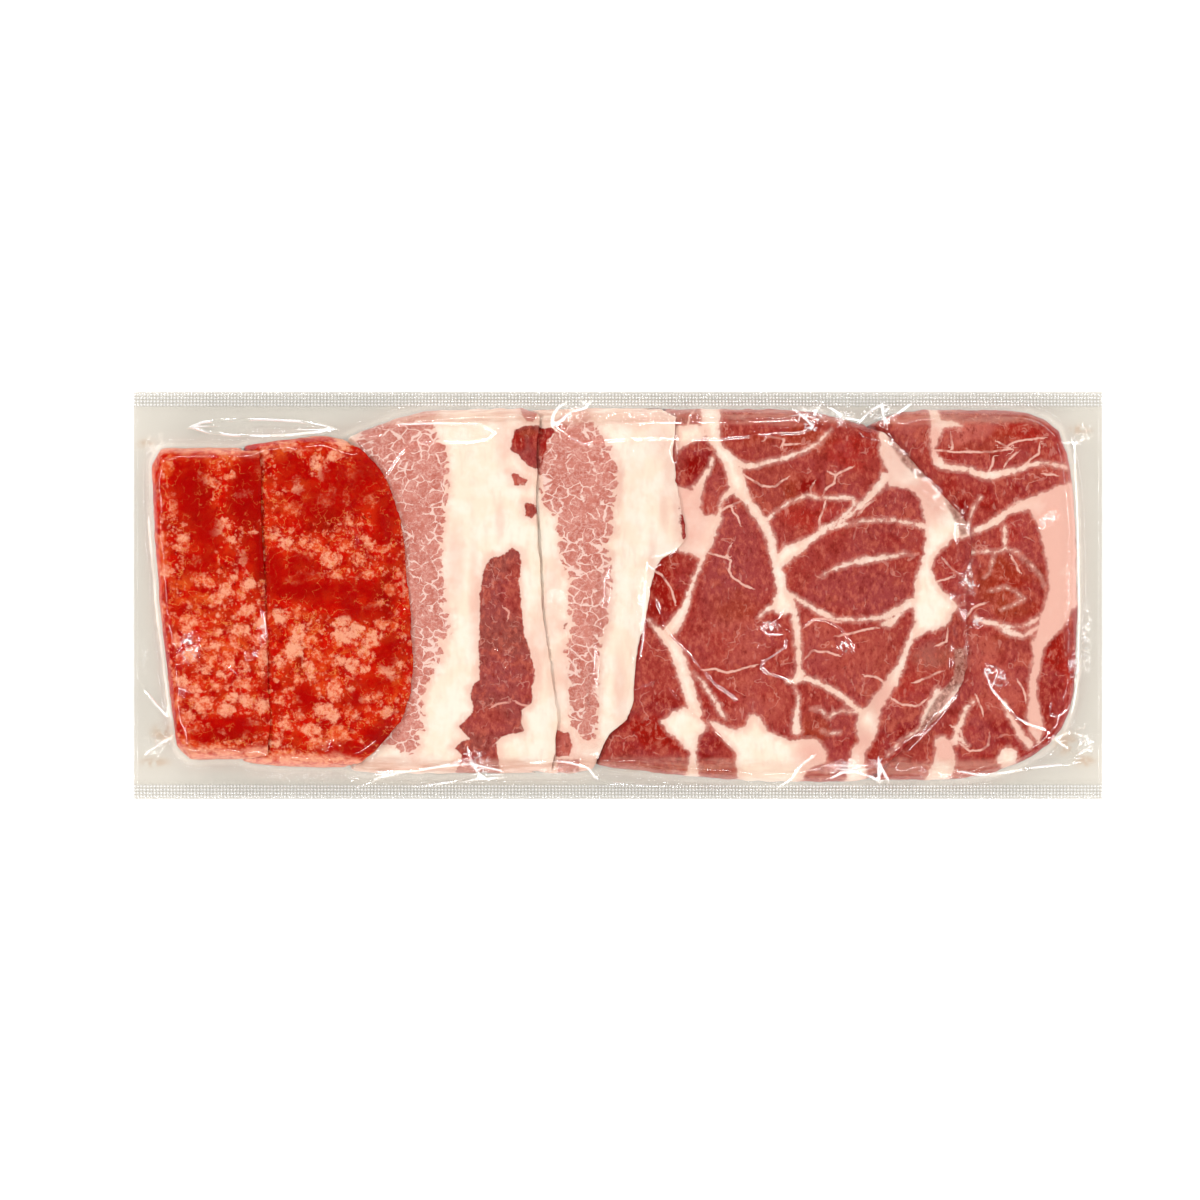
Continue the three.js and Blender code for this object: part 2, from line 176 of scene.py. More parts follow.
# ---------------------------------------- what each slice shows: seams (x, y, width), areas, veins, tones
COLLAR_LEFT = {
    "seams": {
        "spine_top": [
            (711, 405, 20), (711, 425, 20), (713, 436, 14), (717, 445, 10), (722, 452, 12), (730, 461, 15),
            (734, 471, 15), (737, 482, 18), (741, 491, 14), (749, 502, 9), (757, 514, 10), (766, 527, 10),
            (771, 540, 9), (773, 552, 9), (777, 566, 10), (780, 578, 11), (782, 590, 11), (783, 604, 22)
        ],
        "spine_foot": [(776, 606, 9), (766, 610, 4), (759, 618, 2)],
        "spine_tail": [
            (788, 602, 15), (794, 612, 8), (796, 625, 7), (798, 640, 7), (799, 655, 6), (799, 668, 5),
            (800, 675, 11), (795, 681, 7)
        ],
        "top_branch": [
            (736, 463, 9), (746, 466, 6), (756, 466, 5), (769, 462, 4.5), (782, 459, 4), (795, 454, 4),
            (807, 450, 4), (818, 443, 3.5), (827, 434, 3), (831, 430, 2)
        ],
        "oval_top": [
            (768, 520, 3), (776, 511, 2), (788, 503, 2.5), (801, 497, 3), (810, 495, 3.5), (818, 498, 3),
            (833, 498, 3.5), (846, 498, 4), (853, 498, 4), (854, 505, 4), (849, 512, 4), (839, 520, 4),
            (829, 526, 4), (820, 531, 5)
        ],
        "wedge": [
            (781, 560, 15), (789, 552, 16), (797, 549, 14), (808, 541, 8), (820, 533, 6), (833, 526, 4),
            (846, 518, 4), (859, 507, 5), (869, 497, 7), (879, 486, 9), (886, 477, 10)
        ],
        "middle": [
            (823, 532, 3), (839, 526, 3), (847, 524, 3.5), (860, 522, 3.5), (877, 520, 3), (893, 520.5, 3),
            (908, 523, 3.5), (927, 528, 6)
        ],
        "tongue": [
            (820, 577, 1.5), (826, 573, 2.5), (833, 569, 3), (846, 565, 4), (858, 561, 6), (868, 560, 7),
            (877, 558.5, 6), (892, 556, 3.5), (902, 553.5, 2.5), (912, 555.6, 1.5)
        ],
        "cross": [
            (790, 596, 6), (795, 597, 5), (801, 601, 4.5), (811, 607, 4.5), (824, 614, 5), (835, 619, 4.5),
            (854, 620, 4), (868, 619, 4), (880, 618, 5), (889, 615, 8), (900, 609, 8), (914, 601, 9)
        ],
        "lens": [(882, 624, 4), (889, 623, 9), (898, 615, 5)],
        "low_cross": [
            (789, 681, 5), (798, 679, 5), (807, 679, 6), (818, 682, 6), (828, 688, 6), (840, 695, 6), (849, 702, 6),
            (860, 711, 6)
        ],
        "bridge": [(738, 486, 14), (730, 492, 7), (722, 499, 3), (720, 507, 3), (719, 515, 5)],
        "left_strand": [
            (703, 557, 6), (698, 571, 4), (692, 585, 4.5), (688, 598, 6), (683, 611, 9), (677, 622, 12),
            (671, 630, 13)
        ],
        "left_root": [
            (648, 619, 2), (656, 629, 5), (664, 635, 10), (672, 645, 12), (679, 657, 13), (682, 668, 13),
            (686, 681, 13), (690, 694, 13), (694, 706, 12), (698, 714, 10)
        ],
        "splinter": [
            (693, 673, 2), (703, 682, 4), (707, 690, 4.5), (712, 696.5, 5), (718, 706, 5), (723, 715, 4),
            (726, 719, 2.5)
        ],
        "nail": [(794, 687, 2), (799, 696, 3), (797, 708, 4), (796, 720, 7), (797, 730, 10)],
        "bird": [(811, 709, 2), (821, 709.5, 3), (829, 718, 3), (834, 714, 3), (842, 711, 3), (858, 712, 4)],
        "low_bird": [(822, 731, 2), (829, 734, 2.5), (840, 732.5, 2)],
        "kidney_side": [(713, 458, 3), (709, 469, 4), (703, 479, 6), (697, 488, 9)],
        "hem": [(887, 756, 2), (899, 742, 2), (910, 735, 2.5), (921, 728, 3)],
    },
    "fat": {
        "right_band": [
            (881, 425), (879, 451), (883, 464), (887, 472), (888, 487), (897, 486.5), (908, 488.5), (916, 494),
            (920, 502), (922.5, 515), (925, 524), (924, 530), (925, 539), (923, 553), (920, 564), (915, 578),
            (914, 590), (911, 606), (914, 613), (912.5, 627), (907, 638), (902, 651), (899, 660), (891, 672),
            (883, 684), (875, 695), (867, 706), (859, 714), (857, 727), (859, 741), (851, 753), (846, 786),
            (868, 786), (863, 753), (870, 745), (875, 735), (878, 722), (880, 709), (888, 696.5), (896.5, 684.5),
            (903, 666), (907, 651), (912.5, 639), (920.6, 633.6), (934, 629.6), (947, 624), (951, 615), (958, 607),
            (954, 601), (941, 591), (934, 580), (931, 572), (931, 561), (934, 555.6), (941.6, 548), (952, 539),
            (970, 536), (970, 529), (960, 519), (952, 508), (946, 496), (942, 489), (929, 479), (919, 471),
            (908, 452), (900, 440), (892, 425)
        ],
        "left_block": [
            (676, 487), (694, 490), (699, 484), (703, 476), (707, 470), (710, 463), (712, 461), (710, 468),
            (706, 477), (703, 484), (701, 496), (700.5, 508), (704, 516), (713, 516), (719, 514), (722, 519),
            (717, 530), (713, 543), (708, 553), (703, 559), (698, 557), (690, 553), (680, 551), (670, 546)
        ],
        "neck": [(676, 426), (702, 424), (706, 436), (700, 440), (690, 442), (682, 448), (676, 452)],
        "diamond": [
            (661, 721), (673, 713), (685, 707), (696, 712), (708, 727), (698, 738), (696, 752), (700, 786),
            (684, 786), (691, 753), (680, 743), (667, 731)
        ],
        "low_band": [
            (709, 721), (715, 722), (723, 727), (736, 730), (746, 727), (750, 716), (755, 715), (763, 722),
            (767, 730), (774, 735), (785, 738), (791, 741), (802, 739), (813, 739), (821, 743), (826, 751),
            (826, 762), (806, 770), (800, 792), (740, 792), (736, 765), (736, 753), (726, 741), (716, 731)
        ],
        "torn_edge": [
            (920, 729), (923, 714), (928, 701), (935, 687), (942, 691), (960, 682), (966, 688), (960, 696),
            (951, 705), (945, 715), (934, 714), (926, 718)
        ],
    },
    "veins": {
        "oval_vein": [(825.4, 502), (821.6, 515), (819, 522), (819.7, 529)],
        "stalk": [(811.4, 494), (810.7, 488), (814, 483)],
        "fork": [(824, 493), (826.7, 488), (835, 483), (835, 475), (830.5, 472.7)],
        "fork_tip": [(835, 476), (843, 471), (851, 467.6)],
        "left_river": [
            (710, 553), (720, 556), (727, 558), (731, 560.7), (729, 569.6), (731, 576), (737, 580), (743.8, 585),
            (751.4, 588)
        ],
        "left_river_top": [(727, 558), (728, 551), (731, 546)],
        "star": [(721, 511), (731, 505), (736, 503), (741, 501)],
        "star_low": [(731, 505), (733, 512), (738, 517), (740, 523)],
        "top_thorn": [(765, 439), (769, 435.7), (784.6, 439.5), (782, 444.6), (797, 444)],
        "low_left": [(704, 670), (715, 669), (726, 672.4), (736.5, 671), (744.5, 667.7), (755, 665.7)],
        "band_twig": [(883, 681.8), (875, 676.5), (865.6, 675.8)],
        "lobe_ring": [(947, 631), (946, 641.6), (936.6, 645.6)],
        "lobe_line": [(913.9, 681.8), (928.6, 676.5), (940.7, 671)],
        "lobe_torn": [(892.4, 699), (901.8, 704.6), (916.5, 706), (924, 700)],
        "arc": [(806, 626), (815, 619), (826, 619), (838, 622)],
        "fan_one": [(740, 472), (752, 480), (762, 486), (775, 487)],
        "fan_two": [(775, 487), (782, 481), (787, 478)],
        "red_twig": [(655, 571), (662, 575), (671, 588), (675, 602)],
        "right_lobe": [(943, 560), (950, 568), (957, 573)],
        "right_lobe_two": [(934, 582), (942, 580), (952, 577)],
        "low_mid": [(806, 658), (812, 651), (826, 652), (838, 655)],
        "cap": [(688, 425), (690, 416), (694, 410)],
        "low_fibre": [(838, 636), (852, 633), (868, 629), (876, 628)],
        "tip": [(873, 501), (866, 505), (858, 515)],
    },
    "tones": [
        (698, 464, 17, 30, "blood", 1.0), (690, 418, 20, 10, "brown", 0.8), (716, 488, 15, 30, "rosy", 0.25),
        (668, 588, 30, 42, "deep", 0.9), (655, 600, 18, 40, "blood", 0.5), (690, 572, 14, 26, "collar", 0.5),
        (735, 545, 30, 50, "mauve", 0.55), (725, 590, 26, 40, "mauve", 0.5), (765, 485, 40, 34, "brown", 0.8),
        (790, 440, 60, 14, "brown", 0.75), (810, 478, 12, 6, "blood", 1.0), (801, 486, 9, 8, "blood", 0.9),
        (850, 450, 26, 20, "red", 0.7), (870, 440, 18, 20, "deep", 0.5), (845, 480, 22, 16, "mauve", 0.3),
        (812, 518, 34, 18, "red", 0.55), (805, 515, 12, 10, "deep", 0.4), (900, 505, 30, 14, "mauve", 0.4),
        (885, 540, 44, 18, "mauve", 0.4), (888, 543, 14, 8, "deep", 0.4), (865, 590, 60, 26, "mauve", 0.5),
        # the rosy spots at (735, 640) and (755, 700) lighten the lean partly for its veins and partly as painted
        # haze of the film over it
        (735, 640, 34, 30, "rosy", 0.35), (720, 645, 22, 14, "deep", 0.4), (755, 700, 36, 30, "rosy", 0.35),
        (765, 690, 16, 12, "deep", 0.45), (815, 640, 30, 30, "rosy", 0.3), (860, 660, 40, 30, "rosy", 0.25),
        (735, 605, 26, 20, "brown", 0.6), (658, 670, 26, 40, "collar", 0.7), (660, 705, 24, 12, "blood", 0.8),
        (655, 735, 46, 22, "deep", 1.0), (708, 742, 16, 16, "blood", 1.0), (720, 700, 24, 12, "deep", 0.6),
        (840, 730, 30, 24, "mauve", 0.5), (845, 745, 14, 10, "deep", 0.7), (812, 728, 20, 14, "brown", 0.7),
        (875, 760, 24, 20, "deep", 0.5), (912, 742, 32, 24, "blood", 1.0), (905, 690, 26, 20, "red", 0.4),
        (935, 655, 22, 16, "grey", 0.4), (945, 575, 26, 24, "red", 0.35), (950, 640, 16, 40, "brown", 0.5),
        (938, 585, 12, 8, "deep", 0.4), (925, 765, 60, 14, "red", 0.4), (895, 745, 18, 14, "deep", 0.5),
        (893, 620.5, 3.2, 3.2, "blood", 1.0), (915, 468, 14, 24, "grey", 0.8), (943, 505, 12, 26, "grey", 0.8)
    ],
    "blush": [
        (690, 520, 34, 60), (684, 490, 20, 30), (898, 458, 26, 46), (932, 500, 26, 40), (925, 490, 40, 24),
        (882, 700, 22, 40), (865, 745, 22, 30), (812, 755, 30, 26), (668, 450, 20, 26), (945, 700, 20, 24)
    ],
    "rind": {
        "top_rim": [
            (884, 425), (894, 433), (902, 448), (915, 456), (929, 471), (942, 482), (953, 501), (957, 515),
            (962, 521), (972, 530), (960, 536), (954, 520), (947, 506), (941, 493), (930, 481), (916, 476),
            (902, 462), (892, 447)
        ],
        "low_rim": [
            (964, 648), (954, 650), (954, 674), (945, 688), (935, 698), (927, 713), (919, 730), (926, 732),
            (934, 720), (943, 706), (952, 692), (963, 680)
        ],
    },
    "lean": "collar",
    "marbling": 1.0,
    "blushing": 1.0,
    "pressed": 0.35,
}

COLLAR_RIGHT = {
    "seams": {
        "collar_seam": [
            (938, 462, 10), (943, 466, 8), (955, 468, 5.5), (968, 469, 5.5), (976, 473, 7), (986, 476, 8),
            (994, 475.5, 8), (1006, 472, 7), (1019, 469, 5), (1030, 465, 4.5), (1040, 463, 4.5), (1053, 464, 4),
            (1066, 467, 5)
        ],
        "top_column": [
            (934, 404, 8), (936, 418, 11), (937, 428, 13), (934, 440, 8), (933, 449, 6), (936, 458, 6),
            (941, 464, 8)
        ],
        "top_shelf": [(942, 424, 9), (952, 423, 7), (962, 426, 3)],
        "rim_line": [(967, 533, 3), (969.6, 519, 2.5), (974.7, 506, 2.5), (981, 498, 2.5)],
        "stem": [(1005.4, 526, 4), (1004.7, 538, 3.5), (1005.4, 547, 4)],
        "left_arm": [(1003, 550, 3), (994, 552, 2.5), (981, 550.7, 2.5), (968, 553, 2.5), (957, 558, 1.5)],
        "right_arm": [
            (1006, 548, 3), (1018, 552, 2), (1024.5, 559.6, 1.8), (1032, 565, 1.8), (1040, 575, 1.6),
            (1045, 585, 1.6), (1048, 598, 1.5)
        ],
        "lower_arm": [(995, 552, 2), (992.6, 563, 1.5), (990, 572, 1.4), (985, 578, 1)],
        "chevron": [
            (991, 590.5, 1), (1004, 587, 2), (1015, 591, 1.8), (1025, 598.5, 1.5), (1010, 606.8, 1),
            (1002, 609.5, 0.8)
        ],
        "lens_top": [
            (975, 617, 3), (982, 621.5, 4), (994, 623, 4.5), (1008, 627, 5), (1022, 627, 2.5), (1032, 622, 4),
            (1040, 617, 6)
        ],
        "lens_low": [(1000, 626, 5), (1008, 631, 7), (1016, 634, 6), (1024, 636, 4), (1033, 631, 5), (1040, 626, 6)],
        "foot_vein": [(974, 702, 3), (967, 708, 4.5), (961, 722, 5.5), (957, 732, 6), (955, 742, 8)],
        "foot_toe": [(957, 738, 6), (963, 742, 4), (967, 746, 3)],
        "low_strip": [(1004, 702, 4), (1009, 714, 5), (1016, 725, 6), (1023, 738, 8), (1030, 745, 8)],
    },
    "fat": {
        "right_band": [
            (1085, 478), (1060, 486), (1049, 491), (1039, 494), (1030, 498), (1019, 502), (1002, 512), (985, 525),
            (975, 528), (972, 534), (976, 533), (986, 529), (1002, 522), (1007, 515), (1019, 511), (1030, 510),
            (1038, 522), (1043, 540), (1047, 560), (1050, 577), (1049, 590), (1045, 606), (1040, 618), (1037, 632),
            (1033, 643), (1034, 655), (1032, 666), (1030, 682), (1029.5, 698), (1028, 714), (1029, 730),
            (1040, 745), (1043, 726), (1040, 714), (1037, 698), (1037, 682), (1040, 666), (1042, 655),
            (1046.5, 644), (1057, 633), (1068, 620), (1073, 609), (1090, 600)
        ],
        "low_lump": [(936, 738), (945, 737), (952, 745), (956, 760), (950, 785), (925, 785), (935, 760)],
        "low_right_lump": [(1002, 750), (1010, 747), (1018, 752), (1018, 764), (1006, 770), (998, 760)],
    },
    "veins": {
        "top_vein": [(999, 442), (1007, 446), (1015, 442), (1027, 439.6), (1044, 437.7)],
        "top_vein_two": [(1040, 446), (1039, 453.6), (1032, 458.7), (1024.5, 465)],
        "top_root": [(994, 458), (992.6, 466), (989, 471)],
        "line": [(935, 449.8), (955, 451.7), (975, 452), (991, 451.7), (1012, 449)],
        "crown": [(951, 435), (953, 448)],
        "faint": [(1011.7, 557), (1019.4, 571)],
        "side_root": [(1005, 466), (1009, 459), (1018, 452)],
        "inner": [(1045, 474), (1056, 475)],
        "low_vein": [(1019, 682), (1024, 690), (1026, 700)],
        "low_ring": [(953, 727), (960, 729), (962, 736)],
        "arc_left": [(968, 615), (975, 606), (986, 603)],
        "bowl": [(962, 745), (970, 751), (982, 750), (989, 745), (990, 736)],
        "hair": [(977, 697), (981, 706), (983, 713)],
    },
    "tones": [
        (1010, 432, 50, 10, "red", 0.7), (1035, 428, 30, 12, "deep", 0.35), (948, 456, 14, 8, "deep", 0.6),
        (985, 440, 40, 14, "brown", 0.5), (975, 426, 26, 12, "rosy", 0.9), (958, 432, 14, 14, "rosy", 0.9),
        (915, 425, 22, 20, "rosy", 0.6), (1068, 462, 9, 40, "rosy", 0.9), (1060, 440, 12, 26, "red", 0.6),
        (950, 485, 12, 12, "deep", 0.5), (1028, 488, 12, 8, "blood", 0.9), (992, 492, 12, 4, "blood", 1.0),
        # painted shade: the blood-dark spots at (966, 507) and (964, 520) darken the hole beside the edge of the
        # left collar slice
        (1010, 487, 14, 4, "blood", 0.6), (990, 503, 10, 10, "deep", 0.8), (966, 507, 8, 12, "blood", 1.0),
        (964, 520, 5, 10, "blood", 1.0), (973, 540, 14, 8, "deep", 0.5), (1012, 530, 16, 16, "red", 0.5),
        (985, 585, 30, 26, "mauve", 0.4), (1010, 582, 46, 36, "brown", 0.9), (1010, 580, 30, 22, "deep", 0.3),
        # painted shade: the thin blood-dark strip at (960, 620) runs along the edge of the left collar slice that
        # lies over this one
        (960, 620, 5, 30, "blood", 1.0), (1018, 585, 16, 12, "deep", 0.5), (1035, 600, 14, 24, "deep", 0.45),
        (1015, 600, 30, 16, "brown", 0.5), (1005, 645, 40, 14, "brown", 0.8), (960, 590, 10, 14, "deep", 0.7),
        (975, 650, 30, 24, "rosy", 0.5), (1000, 690, 24, 26, "rosy", 0.45), (1015, 665, 16, 16, "collar", 0.4),
        (1055, 665, 18, 46, "deep", 0.9), (1052, 700, 12, 30, "blood", 0.5), (1066, 690, 8, 40, "red", 0.6),
        (1003, 732, 22, 17, "blood", 0.85), (1040, 745, 30, 18, "deep", 0.8), (975, 728, 18, 18, "mauve", 0.6),
        (990, 762, 60, 10, "deep", 0.6), (960, 770, 50, 12, "rosy", 0.35), (1060, 512, 10, 12, "rosy", 0.8),
        (995, 410, 60, 8, "mauve", 0.6), (975, 735, 12, 10, "red", 0.4)
    ],
    "blush": [
        (1062, 530, 60, 90), (1058, 600, 56, 80), (1036, 680, 40, 110), (1068, 500, 40, 60), (1050, 560, 30, 60),
        (935, 440, 12, 30), (945, 750, 20, 20)
    ],
    "lean": "collar",
    "marbling": 1.0,
    "blushing": 1.4,
    "pressed": 0.35,
}

BELLY_LEFT = {
    "columns": {
        "bundles": [
            (358, 395), (440, 395), (432, 425), (436, 440), (445, 447), (446, 470), (446, 490), (442, 520),
            (440, 540), (439, 560), (443, 580), (444, 596), (440, 606), (448, 614), (449, 628), (446, 637),
            (437, 640), (441, 651), (440, 662), (429, 664), (434, 673), (425, 681), (424, 689), (420, 698),
            (421, 713), (423, 729), (416, 733), (418, 747), (412, 756), (400, 748), (390, 742), (372, 745),
            (345, 760), (345, 485), (358, 454)
        ],
    },
    "dark": {
        "dark_patch": [
            (485, 565), (490, 559), (504, 555), (513, 548), (520, 553), (521, 566), (519, 580), (521, 605),
            (523.5, 630), (528, 646), (534, 666), (535, 676), (532, 686), (533, 699), (531, 704), (522, 709),
            (521, 721), (524, 731), (516, 733), (504, 736), (496, 742), (498, 756), (500, 784), (450, 784),
            (462, 756), (454, 748), (461, 742), (470, 739), (466, 734), (459, 727), (466, 719), (474, 711),
            (471, 699), (471, 688), (479.5, 680), (479.5, 663), (478, 646), (479.5, 630), (479.5, 597), (482, 580)
        ],
        "top_patch": [
            (515, 431), (519, 427), (526, 425), (541, 425), (552, 429), (552, 456), (541, 466), (535, 469),
            (528, 466), (522, 460), (519, 455), (510, 449), (512, 440)
        ],
        "top_strip": [(519, 406), (538, 406), (536, 416), (533, 422), (526, 422), (522, 414)],
        "small_patch": [(525, 503), (534, 504), (537, 512), (532, 517), (526, 515)],
        "pink_spot": [(510, 472), (518, 474), (527, 480), (525, 485), (514, 484)],
    },
    "veins": {
        "dark_vein_one": [(505, 608), (509, 612), (508, 618)],
        "dark_vein_two": [(516, 702), (522, 705), (529, 706)],
        "dark_vein_three": [(492, 707), (497, 704), (506, 703)],
    },
    "tones": [
        (497, 600, 20, 30, "mauve", 0.5), (515, 590, 12, 36, "red", 0.35), (516, 441, 9, 14, "deep", 0.9),
        (540, 445, 14, 16, "deep", 0.95), (528, 462, 12, 8, "deep", 0.5), (528, 431, 12, 5, "brown", 0.8),
        (530, 408, 18, 18, "red", 0.7), (488, 720, 26, 18, "red", 0.35), (527, 690, 10, 16, "red", 0.45),
        (500, 670, 22, 26, "mauve", 0.6), (478, 765, 40, 14, "red", 0.3), (531, 510, 10, 9, "brown", 0.4),
        (518, 478, 12, 8, "rosy", 0.8)
    ],
    "blush": [
        (455, 560, 14, 60), (474, 600, 8, 90), (540, 640, 18, 60), (553, 660, 12, 60), (400, 765, 60, 16),
        (520, 770, 60, 16), (540, 500, 8, 60), (398, 420, 60, 18), (362, 450, 30, 30), (503, 440, 12, 50),
        (500, 520, 8, 30)
    ],
    "lean": "dark",
    "marbling": 0.35,
    "blushing": 0.5,
    "pressed": 0.85,
}

BELLY_RIGHT = {
    "columns": {
        "bundles": [
            (545, 440), (556, 432), (560, 420), (575, 412), (588, 414), (592, 424), (604, 438), (612, 452),
            (616, 470), (614, 497), (609, 518), (611, 532), (602, 546), (609, 556), (610, 581), (609.7, 597),
            (608, 613), (606, 623), (601, 643), (597, 650), (599, 666), (597, 683), (596, 696), (597, 709),
            (595.6, 726), (594, 740), (584, 738), (574, 731), (571, 719), (569, 699), (571, 686), (567, 676),
            (569, 666), (567, 651), (571, 638), (574, 623), (571, 613), (569, 597), (573, 581), (565, 565),
            (561, 553), (562, 539), (559, 523), (556, 514), (546, 504), (539, 469)
        ],
    },
    "dark": {
        "lobe": [
            (530, 424), (545, 428), (551, 427), (556, 431), (551, 436), (547, 441), (546, 451), (543, 457),
            (541, 467), (530, 469)
        ],
        "strands": [(551, 732), (556, 730), (569, 733), (572, 745), (569, 756), (556, 757), (551, 746)],
        # dark lean and painted shade: a dark strip along the right edge, where this slice's edge lies on the next
        "shaded_slit": [(677, 496), (683, 499), (687, 520), (688, 543), (683, 545), (679, 520)],
        "low_edge": [(557, 760), (579, 760), (579, 774), (557, 774)],
        "edge_nick": [(680, 460), (685, 461), (684, 465), (680, 465)],
        "edge_nick_two": [(681, 473), (686, 474), (684, 478), (681, 477)],
        "painted_fold_glint": [(564, 624), (567, 624), (566, 629), (563, 629)],
        "dot": [(536, 601), (540, 601), (540, 605), (536, 605)],
    },
    "veins": {},
    "tones": [
        # the blood-dark strip at (683, 520) is part dark lean and part painted shade along the right edge
        (546, 445, 20, 24, "deep", 1.0), (683, 520, 10, 26, "blood", 1.0), (682, 468, 8, 12, "blood", 1.0),
        (560, 745, 20, 16, "rosy", 0.7), (568, 767, 18, 10, "rosy", 0.6), (565, 626, 5, 5, "brown", 1.0),
        (538, 603, 4, 4, "blood", 1.0)
    ],
    "blush": [
        (553, 600, 14, 70), (558, 680, 12, 60), (670, 470, 12, 40), (660, 440, 20, 30), (560, 750, 80, 20),
        (600, 760, 60, 20), (620, 480, 6, 40), (640, 420, 60, 16), (652, 560, 6, 50), (547, 640, 6, 50),
        (620, 690, 10, 60), (664, 510, 8, 30)
    ],
    "lean": "dark",
    "marbling": 0.3,
    "blushing": 0.5,
    "pressed": 0.85,
}

# spiced slices: pieces of fat in the mince (x, y, half length, half width, turn in degrees, paleness)
SPICED_LEFT = {
    "pieces": [
        (207, 480, 11, 7, -20, 0.6), (229, 477, 5, 4, 10, 0.5), (244, 494, 7, 3, 0, 0.9), (172, 505, 4, 11, 8, 0.6),
        (222, 523, 9, 7, -15, 0.7), (217, 532, 6, 5, 0, 1.0), (183, 538, 6, 9, 10, 0.7), (179, 549, 7, 5, -20, 0.7),
        (253, 532, 3, 2.5, 0, 0.9), (232, 540, 3, 5, 20, 0.8), (242, 558, 4, 9, 15, 0.8),
        (250, 584, 10, 6, -35, 1.0), (234, 578, 6, 4, 20, 0.7), (166, 571, 8, 8, 0, 0.7),
        (204, 580, 14, 6, -15, 0.6), (217, 598, 9, 8, 0, 0.7), (249, 609, 10, 6, 10, 0.8),
        (192, 620, 14, 7, -25, 0.6), (220, 632, 7, 5, 0, 0.7), (241, 630, 12, 6, 10, 0.8), (262, 622, 8, 7, 0, 0.9),
        (187, 628, 8, 6, 10, 0.6), (230, 661, 8, 10, 20, 0.6), (212, 660, 9, 6, -10, 0.5),
        (262, 660, 6, 14, 0, 0.8), (183, 681, 9, 7, -30, 0.8), (203, 704, 12, 8, 20, 0.7),
        (226, 710, 10, 8, 10, 0.8), (248, 701, 12, 7, -20, 0.8), (262, 706, 7, 7, 0, 0.8), (185, 716, 9, 6, 0, 0.7),
        (240, 683, 10, 6, 20, 0.7), (222, 733, 5, 3, -20, 0.7), (198, 728, 9, 4, 20, 0.5),
        (206, 444, 30, 5, 0, 0.5), (238, 449, 12, 4, 0, 0.6), (150, 470, 4, 16, 0, 0.3), (166, 466, 7, 6, 0, 0.4),
        (161, 540, 3, 10, 5, 0.6), (158, 610, 4, 16, 5, 0.6), (258, 470, 6, 5, 0, 0.4), (196, 560, 6, 5, 0, 0.5),
        (225, 592, 7, 8, 0, 0.8), (235, 646, 6, 5, 0, 0.6), (205, 640, 6, 6, 0, 0.5), (216, 687, 6, 5, 0, 0.6),
        (205, 668, 8, 6, 0, 0.7), (190, 655, 8, 8, 0, 0.9), (246, 668, 6, 5, 0, 0.8), (216, 645, 6, 5, 0, 0.8),
        (196, 690, 8, 6, 0, 0.8), (232, 698, 7, 5, 0, 0.8), (252, 722, 7, 4, 0, 0.6), (176, 640, 5, 8, 0, 0.7),
        (222, 675, 6, 5, 0, 0.9), (258, 640, 4, 8, 0, 0.7), (212, 746, 30, 4, 0, 0.5), (178, 700, 5, 7, 0, 0.5),
        (246, 735, 5, 4, 0, 0.6)
    ],
    # the shade spots darken the marinade; the two along the right edge are painted shade where the slice falls
    # towards the next one
    "shade": [(248, 500, 26, 60), (262, 560, 12, 60), (196, 500, 22, 40), (230, 735, 40, 12)],
    "fringe": (453, 748),
    "red": [
        (255, 480, 20, 40), (190, 490, 24, 40), (205, 530, 20, 30), (255, 555, 18, 26), (200, 560, 18, 18),
        (235, 727, 36, 14), (205, 735, 20, 12), (245, 500, 22, 30), (186, 470, 18, 16)
    ],
    "orange": [
        (168, 465, 20, 20), (222, 460, 24, 16), (160, 560, 12, 50), (205, 600, 26, 30), (180, 590, 20, 20),
        (180, 732, 14, 14), (230, 650, 30, 30)
    ],
}
